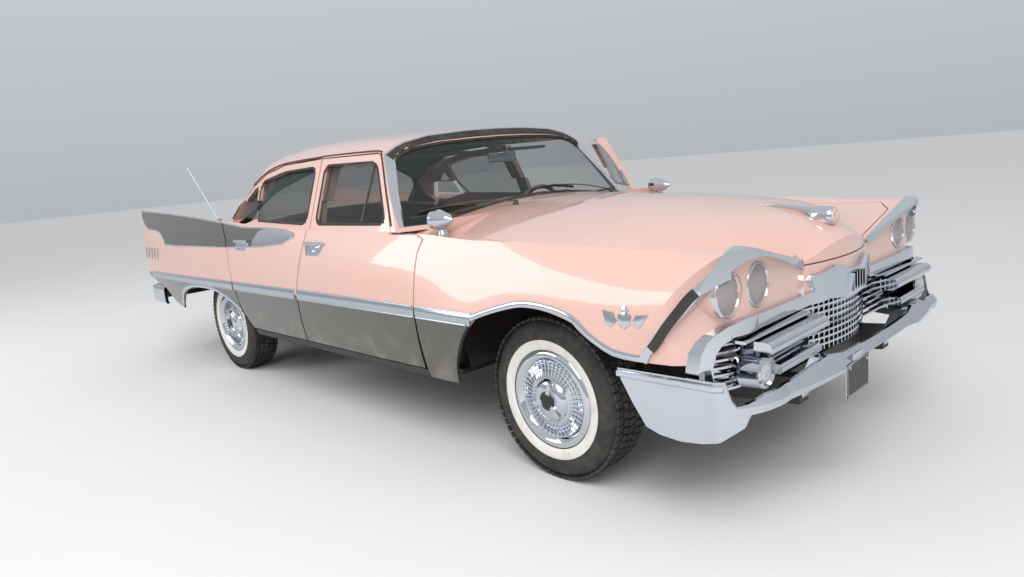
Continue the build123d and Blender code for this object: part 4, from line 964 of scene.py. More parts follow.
def turnOut(mesh):
    # faces of an open revolved skin are turned away from the middle of the tyre's section
    made = bmesh.new()
    made.from_mesh(mesh)
    for face in made.faces:
        middle = face.calc_center_median()
        core = Vector((middle.x, 0, middle.z)).normalized() * wheelSizes["coreRadius"]
        if face.normal.dot(middle - core) < 0:
            face.normal_flip()
    made.to_mesh(mesh)
    made.free()
    return mesh


def makeTyre():
    # right-hand tyre about the origin, its outside at -Y: rubber and the white ring
    s = wheelSizes
    grooves = []
    for y in s["grooves"]:
        grooves += [(0.3315, y - 0.0045), (0.3255, y - 0.003), (0.3255, y + 0.003), (0.3315, y + 0.0045)]
    profiles = [fromFace("shoulder") + grooves + fromFace("back"), fromFace("bead"), fromFace("white")]
    outer, inner, ring = [turnOut(turned("tyre", profile, angle=50)) for profile in profiles]
    blocks = []
    for low, high, shift, lean, top in s["rows"]:
        block = wedge(s["blockFoot"], top, *s["blockHalf"], low, high, lean)
        sizes = {"Count": s["blocks"], "Shift": shift / s["blocks"], "Material": finishes["blackRubber"]}
        blocks.append(tread.grow("blocks", block, sizes, 30))
    return joined("tyreRubber", [outer, inner] + blocks), ring


def makeHubCap():
    # dish, thin fins, hoops and three bars
    s, chromed = wheelSizes, finishes["chromePlate"]
    face = -s["half"]
    fin = wedge(0.096, 0.156, 0.0016, 0.0030, face + 0.0225, face + 0.0085)
    for vert in fin.vertices:
        if vert.co.z > 0.12 and vert.co.y < face + 0.015:
            vert.co.y += 0.006
    fins = tread.grow("capFins", fin, {"Count": s["fins"], "Material": chromed}, 30)
    bar = wedge(0.020, 0.084, 0.011, 0.0065, face - 0.006, face - 0.0165)
    bars = tread.grow("capBars", bar, {"Count": s["spinnerBars"], "Shift": 0.04, "Material": chromed}, 30)
    hoops = []
    for radius, proud in s["hoops"]:
        low, high = face + 0.020 - proud, face + 0.0155 - proud
        hoops.append(turned("hoop", [(radius - 0.0022, low), (radius, high), (radius + 0.0022, low)], 72))
    return joined("hubCap", [turned("dish", fromFace("dish")), fins, bars] + hoops)


def makeWheels():
    s = wheelSizes
    rubber, ring = makeTyre()
    cap = makeHubCap()
    dark = turned("capCentre", fromFace("centre"), 48)
    disc = turned("rim", fromFace("rimOuter") + rimMiddle + fromFace("rimInner") + rimWeb, 64)
    nut = boxMesh("nut", (-0.009, 0.0385, 0.051), (0.009, 0.050, 0.069), 0.002)
    nuts = tread.grow("wheelNuts", nut, {"Count": s["nuts"], "Material": finishes["steelGrey"]}, 30)
    for end, x, y in (("front", frontAxle, s["frontY"]), ("rear", rearAxle, s["rearY"])):
        for hand, side in (("right", -1), ("left", 1)):
            body = f"wheel_{end}_{hand}"
            move = Matrix.Translation((x, side * y, tyreRadius))
            for label, mesh, finish in (("Rubber", rubber, "blackRubber"),
                                        ("Whitewall", ring, "whiteRubber"),
                                        ("HubCap", cap, "chromePlate"), ("CapCentre", dark, "plateBlack"),
                                        ("Rim", disc, "steelGrey"), ("Nuts", nuts, "steelGrey")):
                copy = mesh.copy() if side < 0 else mirrored(mesh)
                copy.transform(move)
                put(f"{label}_{end}_{hand}", copy, body, finish)
            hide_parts(f"tyre_{end}_{hand}")
            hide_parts(f"wheel_{end}_{hand}")
    print("wheels on")


makeWheels()

skins = {  # what the trims are laid on
    "fender": skinOf("front_fender_right"),
    "doorFront": skinOf("door_front_right"),
    "doorRear": skinOf("door_rear_right"),
    "quarter": skinOf("quarter_panel_right"),
    "roof": skinOf("roof_and_pillars"),
    "screen": skinOf("windshield"),
    "screenFront": skinOf("windshield", "cowl", "hood", "roof_and_pillars", "front_fender_right",
                          "front_fender_left"),
    "back": skinOf("roof_and_pillars", "rear_bulkhead", "rear_window", "quarter_panel_right",
                   "quarter_panel_left"),
    "top": skinOf("hood", "cowl", "trunk_lid", "rear_bulkhead", "front_fender_right", "quarter_panel_right",
                  "nose_panel"),
    "brow": skinOf("headlamp_brows"),
    "pane": skinOf("door_glass_front_right"),
    "dash": skinOf("dashboard"),
}
panelSpans = [  # panel, its body key, and the run of x that its own skin covers at the moulding
    ("fender", "body", 0.903, 1.275),
    ("doorFront", "doorFront", -0.178, 0.893),
    ("doorRear", "doorRear", -1.022, -0.210),
    ("quarter", "body", -2.66, -1.040),
]
sideTrim = {
    "topZ": [(1.40, 0.698), (1.275, 0.698), (0.0, 0.702), (-1.5, 0.694), (-2.66, 0.680)],
    "footZ": [(1.40, 0.652), (1.275, 0.650), (0.0, 0.651), (-1.5, 0.645), (-2.66, 0.640)],
    "thickness": 0.004, "crown": 0.002, "beadWidth": 0.009, "beadThickness": 0.010,
}
finPanel = {
    "edgeWidth": 0.011, "edgeThickness": 0.009,
    # the bright wedge that ends the panel on the rear door
    "wedgeTop": [(-0.760, 0.960), (-0.700, 1.014), (-0.607, 1.030), (-0.382, 1.020), (-0.272, 0.994)],
    "wedgeFoot": [(-0.760, 0.924), (-0.642, 0.926), (-0.404, 0.948), (-0.272, 0.984)],
    "wedgeThickness": 0.005, "wedgeCrown": 0.004, "wedgeX": (-0.758, -0.274),
    "spans": [("doorRear", "doorRear", -1.225, -0.290), ("quarter", "body", -2.930, -1.262)],
}


def runOnPanels(name, curve, width, thickness):
    # a bright bead along a height curve, cut where the panels meet
    for panel, key, low, high in panelSpans:
        run = [(x, lerpAlong(curve, x)) for x in [*np.arange(low, high, 0.02), high]]
        mesh = mouldingAlong(name, *laid(skins[panel], run), width, thickness, "chromePlate", lift=0.002)
        putBoth(f"{name}_{panel}_", mesh, key, "chromePlate")


def makeSideTrim():
    s = sideTrim
    for panel, key, low, high in panelSpans:
        mesh = bandOn("sideBand", skins[panel], s["topZ"], s["footZ"], low, high, s["thickness"],
                      s["crown"])
        putBoth(f"sideBand_{panel}_", mesh, key, "brushedTrim")
    for label, curve in (("sideTopBead", s["topZ"]), ("sideFootBead", s["footZ"])):
        runOnPanels(label, curve, s["beadWidth"], s["beadThickness"])


def makeFinPanels():
    # bright mouldings on the border of the fin's dark paint, and its wedge
    s = finPanel
    for label, curve in (("finTopEdge", paint["finTop"]), ("finFootEdge", paint["finFoot"])):
        for panel, key, low, high in s["spans"]:
            run = [(x, lerpAlong(curve, x)) for x in np.linspace(low, high, 90)]
            mesh = mouldingAlong(label, *laid(skins[panel], run), s["edgeWidth"], s["edgeThickness"],
                                 "chromePlate", lift=0.001)
            putBoth(f"{label}_{panel}_", mesh, key, "chromePlate")
    wedge = bandOn("finWedge", skins["doorRear"], s["wedgeTop"], s["wedgeFoot"], *s["wedgeX"],
                   s["wedgeThickness"], s["wedgeCrown"])
    putBoth("finWedge_", wedge, "doorRear", "chromePlate")


makeSideTrim()
makeFinPanels()
print("side trim on")

archTrim = {
    "front": [(fore(-0.275), 0.683), (fore(-0.14), 0.727), (fore(0.01), 0.760), (fore(0.15), 0.755),
              (fore(0.262), 0.727), (fore(0.345), 0.668), (fore(0.425), 0.628), (fore(0.50), 0.617),
              (fore(0.56), 0.616)],
    "rear": [(rearAxle + 0.652, 0.412), (rearAxle + 0.53, 0.527), (rearAxle + 0.27, 0.616),
             (rearAxle, 0.635), (rearAxle - 0.27, 0.616), (rearAxle - 0.445, 0.556),
             (rearAxle - 0.548, 0.452)],
    "width": 0.026, "thickness": 0.012,
}


def makeArchTrim():
    s = archTrim
    for label, panel in (("front", "fender"), ("rear", "quarter")):
        path = laid(skins[panel], smoothRun(s[label]))
        mesh = mouldingAlong("archTrim", *path, s["width"], s["thickness"], "chromePlate", lift=0.001)
        putBoth(f"archTrim_{label}_", mesh, "body", "chromePlate")


makeArchTrim()

windowSizes = {
    "front": [(0.548, 1.052), (0.366, 1.345), (-0.134, 1.354), (-0.104, 1.052)],
    "rear": [(-0.214, 1.052), (-0.244, 1.352), (-0.620, 1.342), (-0.930, 1.296), (-0.868, 1.072)],
    "quarter": [(-0.918, 1.078), (-0.972, 1.278), (-1.090, 1.196), (-1.168, 1.090)],
    "sealWidth": 0.014, "sealThickness": 0.006, "sealOut": 0.004, "rounding": 0.05,
    "dripRail": [(0.610, 1.040), (0.500, 1.215), (0.402, 1.375), (0.372, 1.398), (0.200, 1.405),
                 (-0.185, 1.4075), (-0.640, 1.3965), (-0.885, 1.357), (-1.050, 1.285), (-1.172, 1.192),
                 (-1.258, 1.078)],
    "dripWidth": 0.007, "dripThickness": 0.012,
    "ventFoot": (0.330, 1.056), "ventHead": (0.330, 1.343), "ventWidth": 0.014, "ventThickness": 0.012,
}


def makeWindowTrim():
    s = windowSizes
    for label, panel in (("front", "doorFront"), ("rear", "doorRear"), ("quarter", "doorRear")):
        loop = offsetLoop(s[label], s["sealOut"])
        run = smoothRun(loop, 0.012, closed=True, rounding=s["rounding"])
        mesh = mouldingAlong("windowSeal", *laid(skins[panel], run), s["sealWidth"], s["sealThickness"],
                             "blackRubber", closed=True, lift=0.0005)
        putBoth(f"windowSeal_{label}_", mesh, panel, "blackRubber")
    path = laid(skins["roof"], smoothRun(s["dripRail"]))
    mesh = mouldingAlong("dripRail", *path, s["dripWidth"], s["dripThickness"], "darkInlay", lift=0.002)
    putBoth("dripRail_", mesh, "body", "darkInlay")
    # the pivot post of the vent pane in the front doors
    post = [Vector(s["ventFoot"]).lerp(Vector(s["ventHead"]), t) for t in np.linspace(0, 1, 16)]
    mesh = mouldingAlong("ventPost", *laid(skins["pane"], post), s["ventWidth"], s["ventThickness"],
                         "darkInlay")
    putBoth("ventPost_", mesh, "doorFront", "darkInlay")


screenSizes = {  # (y, z) seen from the front, from the corner to the middle
    "glassTop": [(0.697, 1.334), (0.657, 1.366), (0.588, 1.393), (0.420, 1.411), (0.200, 1.418),
                 (0.0, 1.420)],
    "header": [(0.732, 1.380), (0.667, 1.413), (0.608, 1.434), (0.465, 1.461), (0.220, 1.475),
               (0.0, 1.478)],
    "pillarInner": [(0.836, 1.034), (0.803, 1.113), (0.767, 1.208), (0.724, 1.307), (0.690, 1.356)],
    "pillarOuter": [(0.869, 1.030), (0.846, 1.113), (0.816, 1.208), (0.788, 1.307), (0.738, 1.382)],
    "bandThickness": 0.005, "coverThickness": 0.003, "edgeWidth": 0.012, "edgeThickness": 0.008,
    "footWidth": 0.014, "footThickness": 0.008, "footHalf": 0.79,
    "glassFrom": 1.02, "glassTo": 1.20,  # the foot of the glass is looked for between these heights
}
backTrim = {
    "rightHalf": [(-1.720, -0.560), (-1.580, -0.735), (-1.260, -0.668), (-1.130, -0.560), (-1.078, -0.300)],
    "front": (-1.050, 0.0), "rear": (-1.750, 0.0), "width": 0.022, "thickness": 0.010,
}


def bothSides(points):
    # a run from one corner over the middle to the other
    return [(-y, z) for y, z in points] + [(y, z) for y, z in reversed(points[:-1])]


def spaced(points, amount):
    # this many places along a run, by the share of its corners
    share = np.linspace(0, len(points) - 1, amount)
    index = np.arange(len(points))
    return list(zip(*(np.interp(share, index, [p[k] for p in points]) for k in (0, 1))))


def glassFoot(y):
    # the lowest height at which the windshield shows from the front
    for z in np.arange(screenSizes["glassFrom"], screenSizes["glassTo"], 0.004):
        seen = onSkin(skins["screenFront"], y, z, "front")
        glass = onSkin(skins["screen"], y, z, "front")
        if seen and glass and (seen[0] - glass[0]).length < 0.002:
            return float(z)
    raise ValueError(f"no glass at {y:.3f}")


def makeScreenTrim():
    s = screenSizes
    # the black band between the glass and the roof, and the bright moulding over it
    runs = list(zip(spaced(bothSides(s["glassTop"]), 61), spaced(bothSides(s["header"]), 61)))
    band = frontBand("headerBand", skins["screenFront"], runs, s["bandThickness"], rows=8)
    put("headerBand", band, "body", "blackRubber")
    path = laid(skins["screenFront"], spaced(bothSides(s["header"]), 91), "front")
    mesh = mouldingAlong("headerTrim", *path, s["edgeWidth"], s["edgeThickness"], "chromePlate", lift=0.004)
    put("headerTrim", mesh, "body", "chromePlate")
    # the bright covers on the windshield pillars
    runs = list(zip(spaced(s["pillarInner"], 25), spaced(s["pillarOuter"], 25)))
    for side, label in ((-1, "Right"), (1, "Left")):
        edges = [((side * a[0], a[1]), (side * b[0], b[1])) for a, b in runs]
        cover = frontBand("pillarCover", skins["screenFront"], edges, s["coverThickness"], rows=3)
        put("pillarCover" + label, cover, "body", "chromePlate")
    # the rubber that the glass stands in
    foot = [(y, glassFoot(y) + 0.003) for y in np.linspace(-s["footHalf"], s["footHalf"], 60)]
    path = laid(skins["screen"], foot, "front")
    mesh = mouldingAlong("screenFoot", *path, s["footWidth"], s["footThickness"], "blackRubber", lift=0.001)
    put("screenFoot", mesh, "body", "blackRubber")


def makeBackTrim():
    # the bright frame round the back window, from its right half in (x, y)
    s = backTrim
    leftHalf = [(x, -y) for x, y in reversed(s["rightHalf"])]
    plan = [*s["rightHalf"], s["front"], *leftHalf, s["rear"]]
    run = smoothRun(offsetLoop(plan, 0.010), closed=True, rounding=0.08)
    path = laid(skins["back"], run, "top")
    mesh = mouldingAlong("backTrim", *path, s["width"], s["thickness"], "chromePlate", closed=True)
    put("backTrim", mesh, "body", "chromePlate")


makeWindowTrim()
makeScreenTrim()
makeBackTrim()
print("window trim on")

# handles, badges and hash marks
handleSizes = {
    "front": [(-0.136, 0.956), (0.065, 0.956), (0.030, 0.888), (-0.116, 0.888)],
    "rear": [(-0.996, 0.957), (-0.805, 0.957), (-0.854, 0.894), (-0.986, 0.894)],
    "plate": 0.004, "cup": -0.003, "barWidth": 0.019, "barThickness": 0.020, "barStand": 0.012,
    "barDrop": 0.008, "lockRadius": 0.009, "lockDrop": 0.045,
}


def makeHandle(label, panel):
    # a tapered cup plate with a raised bar along its head, and the lock's button
    s = handleSizes
    outline = s[label]
    flat = smoothRun(outline, 0.006, closed=True, rounding=0.014)
    parts = [plateFromOutline(skins[panel], [tuple(p) for p in flat], s["plate"], s["cup"])]
    (rear, z), (front, z) = outline[:2]
    places, outs = [], []
    for x in np.linspace(rear + 0.004, front - 0.004, 24):
        place, out = onSkin(skins[panel], x, z - s["barDrop"])
        places.append(place + out * s["barStand"])
        outs.append(out)
    parts.append(mouldingAlong("bar", places, outs, s["barWidth"], s["barThickness"], "chromePlate",
                               sides=14))
    foot, out = onSkin(skins[panel], (rear + front) / 2, z - s["lockDrop"])
    r = s["lockRadius"]
    button = [(0.0, 0.0), (r, 0.0), (r, 0.006), (r * 0.7, 0.009), (0.0, 0.009)]
    parts.append(lathe("lock", button, foot, out, 20, closed=False))
    putBoth(f"doorHandle_{label}_", shaded(joined("doorHandle", parts), 40), panel, "chromePlate")


def plateFromOutline(skin, outline, thick, dome):
    # a flat badge that follows the panel: outline in (x, z), with a raised or sunk middle
    count = len(outline)
    middle = Vector((sum(p[0] for p in outline) / count, sum(p[1] for p in outline) / count))
    points, faces = [], []
    for share, height in ((1.0, 0.0), (0.94, thick)):
        for p in outline:
            spot = middle + (Vector(p) - middle) * share
            place, out = onSkin(skin, *spot)
            points.append(place + out * height)
    place, out = onSkin(skin, *middle)
    points.append(place + out * (thick + dome))
    for i in range(count):
        j = (i + 1) % count
        faces.append((i, j, count + j, count + i))
        faces.append((count + i, count + j, 2 * count))
    return meshFrom("plate", points, faces, 30)


badgeShapes = {  # a bare winged shape on each front fender: outline and dome of each part
    "rearWing": ([(1.942, 0.771), (1.992, 0.765), (2.008, 0.738), (1.984, 0.716), (1.961, 0.728)], 0.002),
    "frontWing": ([(2.132, 0.769), (2.082, 0.764), (2.066, 0.738), (2.088, 0.718), (2.104, 0.731)], 0.002),
    "keel": ([(2.008, 0.760), (2.037, 0.772), (2.066, 0.760), (2.058, 0.728), (2.037, 0.714),
              (2.014, 0.728)], 0.006),
    "crown": ([(2.018, 0.776), (2.037, 0.799), (2.056, 0.776), (2.037, 0.770)], 0.004),
}
badgeThickness = 0.004
hashMarks = {
    "count": 5, "from": -2.785, "pitch": 0.078, "foot": 0.780, "head": 0.868, "wide": 0.016, "lean": 0.004,
    "thickness": 0.005, "dome": 0.002,
}


def makeBadges():
    parts = [plateFromOutline(skins["fender"], outline, badgeThickness, dome)
             for outline, dome in badgeShapes.values()]
    putBoth("fenderBadge_", joined("fenderBadge", parts), "body", "chromePlate")
    s = hashMarks
    marks = []
    for i in range(s["count"]):
        x, half = s["from"] + i * s["pitch"], s["wide"] / 2
        rear, front = x - half, x + half
        outline = [(rear, s["head"]), (front, s["head"]), (front, s["foot"]), (rear + s["lean"], s["foot"])]
        marks.append(plateFromOutline(skins["quarter"], outline, s["thickness"], s["dome"]))
    putBoth("hashMarks_", joined("hashMarks", marks), "body", "chromePlate")


makeHandle("front", "doorFront")
makeHandle("rear", "doorRear")
makeBadges()
print("handles and badges on")

# the lamps, the ornament and the small parts of the nose
lampSizes = {
    "places": [(0.659, fore(0.780)), (0.835, fore(0.770))], "height": 0.824,  # y and x of each, and its z
    "lensRadius": 0.0665, "bezelRadius": 0.0785, "tabs": (35, 155, 275),
    # share of the lens radius, and how far ahead of the face
    "lens": [(1.0, 0.012), (0.94, 0.017), (0.75, 0.023), (0.5, 0.0275), (0.25, 0.0300), (0.0, 0.0308),
             (0.0, 0.0275), (0.5, 0.0245), (0.75, 0.0200), (0.94, 0.0140)],
    "bowl": [(0.96, 0.0125), (0.80, 0.0112), (0.55, 0.0100), (0.30, 0.0092), (0.12, 0.0088), (0.0, 0.0088)],
    "tab": [(0.0, 0.0), (0.0028, 0.0), (0.0028, 0.0012), (0.0, 0.0018)],
    "tabOut": 0.0055, "tabAhead": 0.0225,
}
podSizes = {
    "y": 0.738, "z": 0.558, "front": fore(0.854), "lensRadius": 0.046, "ringRadius": 0.059,
    "lens": [(1.0, 0.0), (0.9, 0.004), (0.6, 0.0075), (0.3, 0.009), (0.0, 0.0095)],
}
forward = (1, 0, 0)


def makeHeadlamps():
    s = lampSizes
    lens, rim = s["lensRadius"], s["bezelRadius"]
    ring = [(lens - 0.001, 0.0125), (lens + 0.002, 0.0195), (lens + 0.0055, 0.0225), (rim - 0.0035, 0.0215),
            (rim, 0.0160), (rim, 0.004), (lens - 0.001, 0.004)]
    front, bowl = [[(lens * share, ahead) for share, ahead in s[label]] for label in ("lens", "bowl")]
    bezels, lenses, bowls = [], [], []
    for side in (-1, 1):
        for y, face in s["places"]:
            centre = Vector((face, side * y, s["height"]))
            lenses.append(lathe("lens", front, centre, forward, 48, angle=60))
            bowls.append(lathe("bowl", bowl, centre, forward, 48, closed=False, angle=60))
            bezels.append(lathe("bezel", ring, centre, forward, 64, angle=50))
            for turn in s["tabs"]:
                a = math.radians(turn)
                out = Vector((0, math.cos(a), math.sin(a))) * (lens + s["tabOut"])
                place = centre + out + Vector((s["tabAhead"], 0, 0))
                bezels.append(lathe("tab", s["tab"], place, forward, 12, closed=False))
    put("lampBezels", joined("lampBezels", bezels), "body", "chromePlate")
    put("lampBowls", joined("lampBowls", bowls), "body", "lampBowl")
    put("lampLenses", joined("lampLenses", lenses), "body", "lampGlass")


def makePods():
    # the lamps at the ends of the grille's two round bars
    s = podSizes
    lens, rim = s["lensRadius"], s["ringRadius"]
    front = [(lens * share, ahead) for share, ahead in s["lens"]]
    ring = [(lens - 0.001, 0.0), (lens + 0.002, 0.005), (lens + 0.007, 0.006), (rim, 0.001), (rim, -0.002),
            (lens - 0.001, -0.002)]
    lenses, rings = [], []
    for side in (-1, 1):
        centre = Vector((s["front"], side * s["y"], s["z"]))
        lenses.append(lathe("podLens", front, centre, forward, 36, closed=False, angle=60))
        rings.append(lathe("podRing", ring, centre, forward, 36, angle=50))
    put("podLenses", joined("podLenses", lenses), "body", "parkLens")
    put("podRings", joined("podRings", rings), "body", "chromePlate")


browStrip = {
    "run": [(fore(0.752), 0.852), (fore(0.726), 0.826), (fore(0.690), 0.780), (fore(0.652), 0.735),
            (fore(0.618), 0.692), (fore(0.588), 0.655)],
    "width": 0.034, "thickness": 0.005,
}


def makeBrowStrip():
    # the dark inlay in the lower part of each brow
    s = browStrip
    path = laid(skins["brow"], smoothRun(s["run"], 0.01))
    mesh = mouldingAlong("browInlay", *path, s["width"], s["thickness"], "darkInlay", lift=0.0005)
    putBoth("browInlay_", mesh, "body", "darkInlay")


makeHeadlamps()
makePods()
makeBrowStrip()

# the spear and the bullet on the hood
ornamentSizes = {
    "z": 0.972, "bulletFrom": fore(0.690), "spearTail": fore(0.470), "spearReach": 0.016,
    # radius, and how far ahead of bulletFrom
    "bullet": [(0.0, -0.003), (0.0285, 0.0), (0.0355, 0.013), (0.0395, 0.033), (0.0395, 0.074),
               (0.0345, 0.090), (0.0230, 0.101), (0.0110, 0.107), (0.0, 0.1085)],
    "collar": [(0.0300, 0.0), (0.0325, 0.002), (0.0325, 0.004), (0.0300, 0.006)],
    "collars": 3, "collarFrom": -0.004, "collarPitch": 0.007, "collarGrowth": 0.001,
    "spearZ": 1.024, "spearDrop": 0.036, "spearCurve": 1.4,
    "spearTip": (0.004, 0.003), "spearGrowth": (0.015, 0.014),  # half the width and height, and their growth
}


def makeOrnament():
    s = ornamentSizes
    centre = Vector((s["bulletFrom"], 0, s["z"]))
    parts = [lathe("bullet", s["bullet"], centre, forward, 56, closed=False, angle=60)]
    # the spear: a tapered round bar that rises out of the hood behind the bullet
    points, faces, ring, rows = [], [], 20, 14
    for i in range(rows + 1):
        t = i / rows
        x = s["spearTail"] + (s["bulletFrom"] + s["spearReach"] - s["spearTail"]) * t
        z = s["spearZ"] - s["spearDrop"] * t ** s["spearCurve"]
        wide, tall = (tip + growth * t for tip, growth in zip(s["spearTip"], s["spearGrowth"]))
        for k in range(ring):
            a = 2 * math.pi * k / ring
            points.append((x, wide * math.cos(a), z + tall * math.sin(a)))
    for i in range(rows):
        for k in range(ring):
            j = (k + 1) % ring
            faces.append((i * ring + k, i * ring + j, (i + 1) * ring + j, (i + 1) * ring + k))
    faces += [tuple(range(ring)), tuple(range(rows * ring, (rows + 1) * ring))]
    parts.append(meshFrom("spear", points, faces, 60))
    # a grooved collar where they meet
    for k in range(s["collars"]):
        profile = [(radius + k * s["collarGrowth"], ahead) for radius, ahead in s["collar"]]
        place = centre + Vector((s["collarFrom"] + k * s["collarPitch"], 0, 0))
        parts.append(lathe("collar", profile, place, forward, 40))
    put("hoodOrnament", shaded(joined("hoodOrnament", parts), 50), "hood", "chromePlate")


makeOrnament()

# the blank number plate with a raised rim
plateSizes = {
    "x": fore(0.970), "y": -0.277, "z": 0.434, "half": 0.099, "tall": 0.061, "back": 0.0002, "face": 0.0018,
    "rimIn": 0.004, "rimWidth": 0.0030, "rimThickness": 0.0024, "holeZ": 0.478, "holes": 0.150,
    "bolt": [(0.0, 0.0), (0.0065, 0.0), (0.0065, 0.0015), (0.0045, 0.0035), (0.0, 0.0040)],
}


def makePlate():
    s = plateSizes
    x, y, z, half, tall = s["x"], s["y"], s["z"], s["half"], s["tall"]
    face = x + s["face"]
    sheet = boxMesh("plateSheet", (x + s["back"], y - half, z - tall), (face, y + half, z + tall),
                    0.0006, 1)
    put("plateSheet", sheet, "body", "plateBlack")
    wide, high = half - s["rimIn"], tall - s["rimIn"]
    run = smoothRun([(-wide, -high), (wide, -high), (wide, high), (-wide, high)], 0.006, closed=True,
                    rounding=0.010)
    places = [Vector((face, y + p.x, z + p.y)) for p in run]
    rim = mouldingAlong("plateRim", places, [Vector(forward)] * len(places), s["rimWidth"],
                        s["rimThickness"], "dullChrome", closed=True, sides=8)
    put("plateRim", rim, "body", "dullChrome")
    bolts = [lathe("bolt", s["bolt"], (face, y + side * s["holes"] / 2, s["holeZ"]), forward, 16,
                   closed=False) for side in (-1, 1)]
    put("plateBolts", joined("plateBolts", bolts), "body", "dullChrome")


makePlate()
print("front details on")

# wipers lying on the lower windshield
wiperSizes = {
    "pivots": [0.43, -0.33], "pivotX": 0.905, "tips": [-0.06, -0.74], "aboveGlassFoot": 0.020, "bow": 0.010,
    "bladeWidth": 0.007, "bladeHeight": 0.013, "bladeFrom": 0.28, "bladeStand": 0.007, "steps": 16,
    "spineWidth": 0.009, "spineThickness": 0.003, "spineStand": 0.009,
    "armWidth": 0.009, "armThickness": 0.005, "armFoot": 0.018, "armRise": 0.022, "armStand": 0.014,
    "pivot": [(0.0, -0.004), (0.015, -0.004), (0.013, 0.012), (0.009, 0.022), (0.0, 0.024)],
}


def makeWipers():
    s = wiperSizes
    for i, (pivotY, tipY) in enumerate(zip(s["pivots"], s["tips"])):
        places, outs = [], []
        start = pivotY * (1 - s["bladeFrom"]) + tipY * s["bladeFrom"]
        for k, y in enumerate(np.linspace(start, tipY, s["steps"])):
            z = glassFoot(y) + s["aboveGlassFoot"] + s["bow"] * math.sin(math.pi * k / (s["steps"] - 1))
            hit = onSkin(skins["screen"], y, z, "front")
            if hit:
                places.append(hit[0] + hit[1] * s["bladeStand"])
                outs.append(hit[1])
        blade = mouldingAlong("blade", places, outs, s["bladeWidth"], s["bladeHeight"], "blackRubber",
                              sides=6)
        put(f"wiperBlade_{i}", blade, "body", "blackRubber")
        spine = mouldingAlong("spine", places, outs, s["spineWidth"], s["spineThickness"], "darkInlay",
                              sides=6, lift=s["spineStand"])
        put(f"wiperSpine_{i}", spine, "body", "darkInlay")
        middle = len(places) // 2
        centre = places[middle] + outs[middle] * s["armStand"]
        base = onSkin(skins["top"], s["pivotX"], pivotY, "top")[0]
        bend = base.lerp(centre, 0.5) + Vector((0, 0, s["armRise"]))
        run = smoothRun([base + Vector((0, 0, s["armFoot"])), bend, centre], 0.02)
        arm = mouldingAlong("arm", run, [Vector((0.6, 0, 0.8))] * len(run), s["armWidth"],
                            s["armThickness"], "darkInlay", sides=8)
        pivot = lathe("pivot", s["pivot"], base, (0, 0, 1), 20, closed=False)
        put(f"wiperArm_{i}", joined("wiperArm", [arm, pivot]), "body", "darkInlay")


makeWipers()
print("wipers on")

# seats: padded cushions, their covers inflated by a cloth simulation
seatPieces = {  # side outline in (x, z), half the width, the node it stands for, and whether it is sat on
    "frontCushion": {"outline": [(0.272, 0.420), (0.300, 0.575), (0.262, 0.600), (-0.200, 0.560),
                                 (-0.262, 0.485), (-0.262, 0.420)],
                     "half": 0.632, "node": "front_seat", "upZ": True},
    "frontBack": {"outline": [(-0.222, 0.560), (-0.338, 0.985), (-0.365, 1.000), (-0.392, 0.985),
                              (-0.290, 0.500), (-0.240, 0.500)],
                  "half": 0.632, "node": "front_seat", "upZ": False},
    "rearCushion": {"outline": [(-0.562, 0.420), (-0.542, 0.580), (-0.575, 0.605), (-1.030, 0.572),
                                (-1.062, 0.540), (-1.062, 0.420)],
                    "half": 0.668, "node": "rear_seat", "upZ": True},
    "rearBack": {"outline": [(-1.100, 0.622), (-1.044, 0.622), (-1.155, 0.962), (-1.180, 0.978),
                             (-1.222, 0.965), (-1.298, 0.622)],
                 "half": 0.578, "node": "rear_seat", "upZ": False},
}
padding = {
    "voxel": 0.020, "pressure": 4.0, "frames": 20, "cap": 0.020,
    "pleatPitch": 0.085, "pleatDepth": 0.007, "pleatWidth": 0.10, "edgeIn": 0.085, "edgeWidth": 0.010,
}
coverCloth = {
    "quality": 4, "mass": 0.25, "tension_stiffness": 25, "compression_stiffness": 25, "shear_stiffness": 12,
    "bending_stiffness": 4, "use_pressure": True, "uniform_pressure_force": padding["pressure"],
}
seatBases = {  # the frames that the cushions stand on: low and high corner, with a gap in the middle
    "frontSeatBase": ((-0.255, -0.60, 0.386), (0.255, 0.60, 0.430)),
    "rearSeatBase": ((-1.050, -0.64, 0.386), (-0.570, 0.64, 0.430)),
}
baseGap = 0.17


def prismMesh(name, outline, yFrom, yTo):
    count = len(outline)
    points = [(x, yFrom, z) for x, z in outline] + [(x, yTo, z) for x, z in outline]
    faces = [tuple(range(count)), tuple(range(count, 2 * count))]
    faces += [(i, (i + 1) % count, count + (i + 1) % count, count + i) for i in range(count)]
    return meshFrom(name, points, faces)


def evaluated(obj):
    graph = bpy.context.evaluated_depsgraph_get()
    graph.update()
    return bpy.data.meshes.new_from_object(obj.evaluated_get(graph), depsgraph=graph)


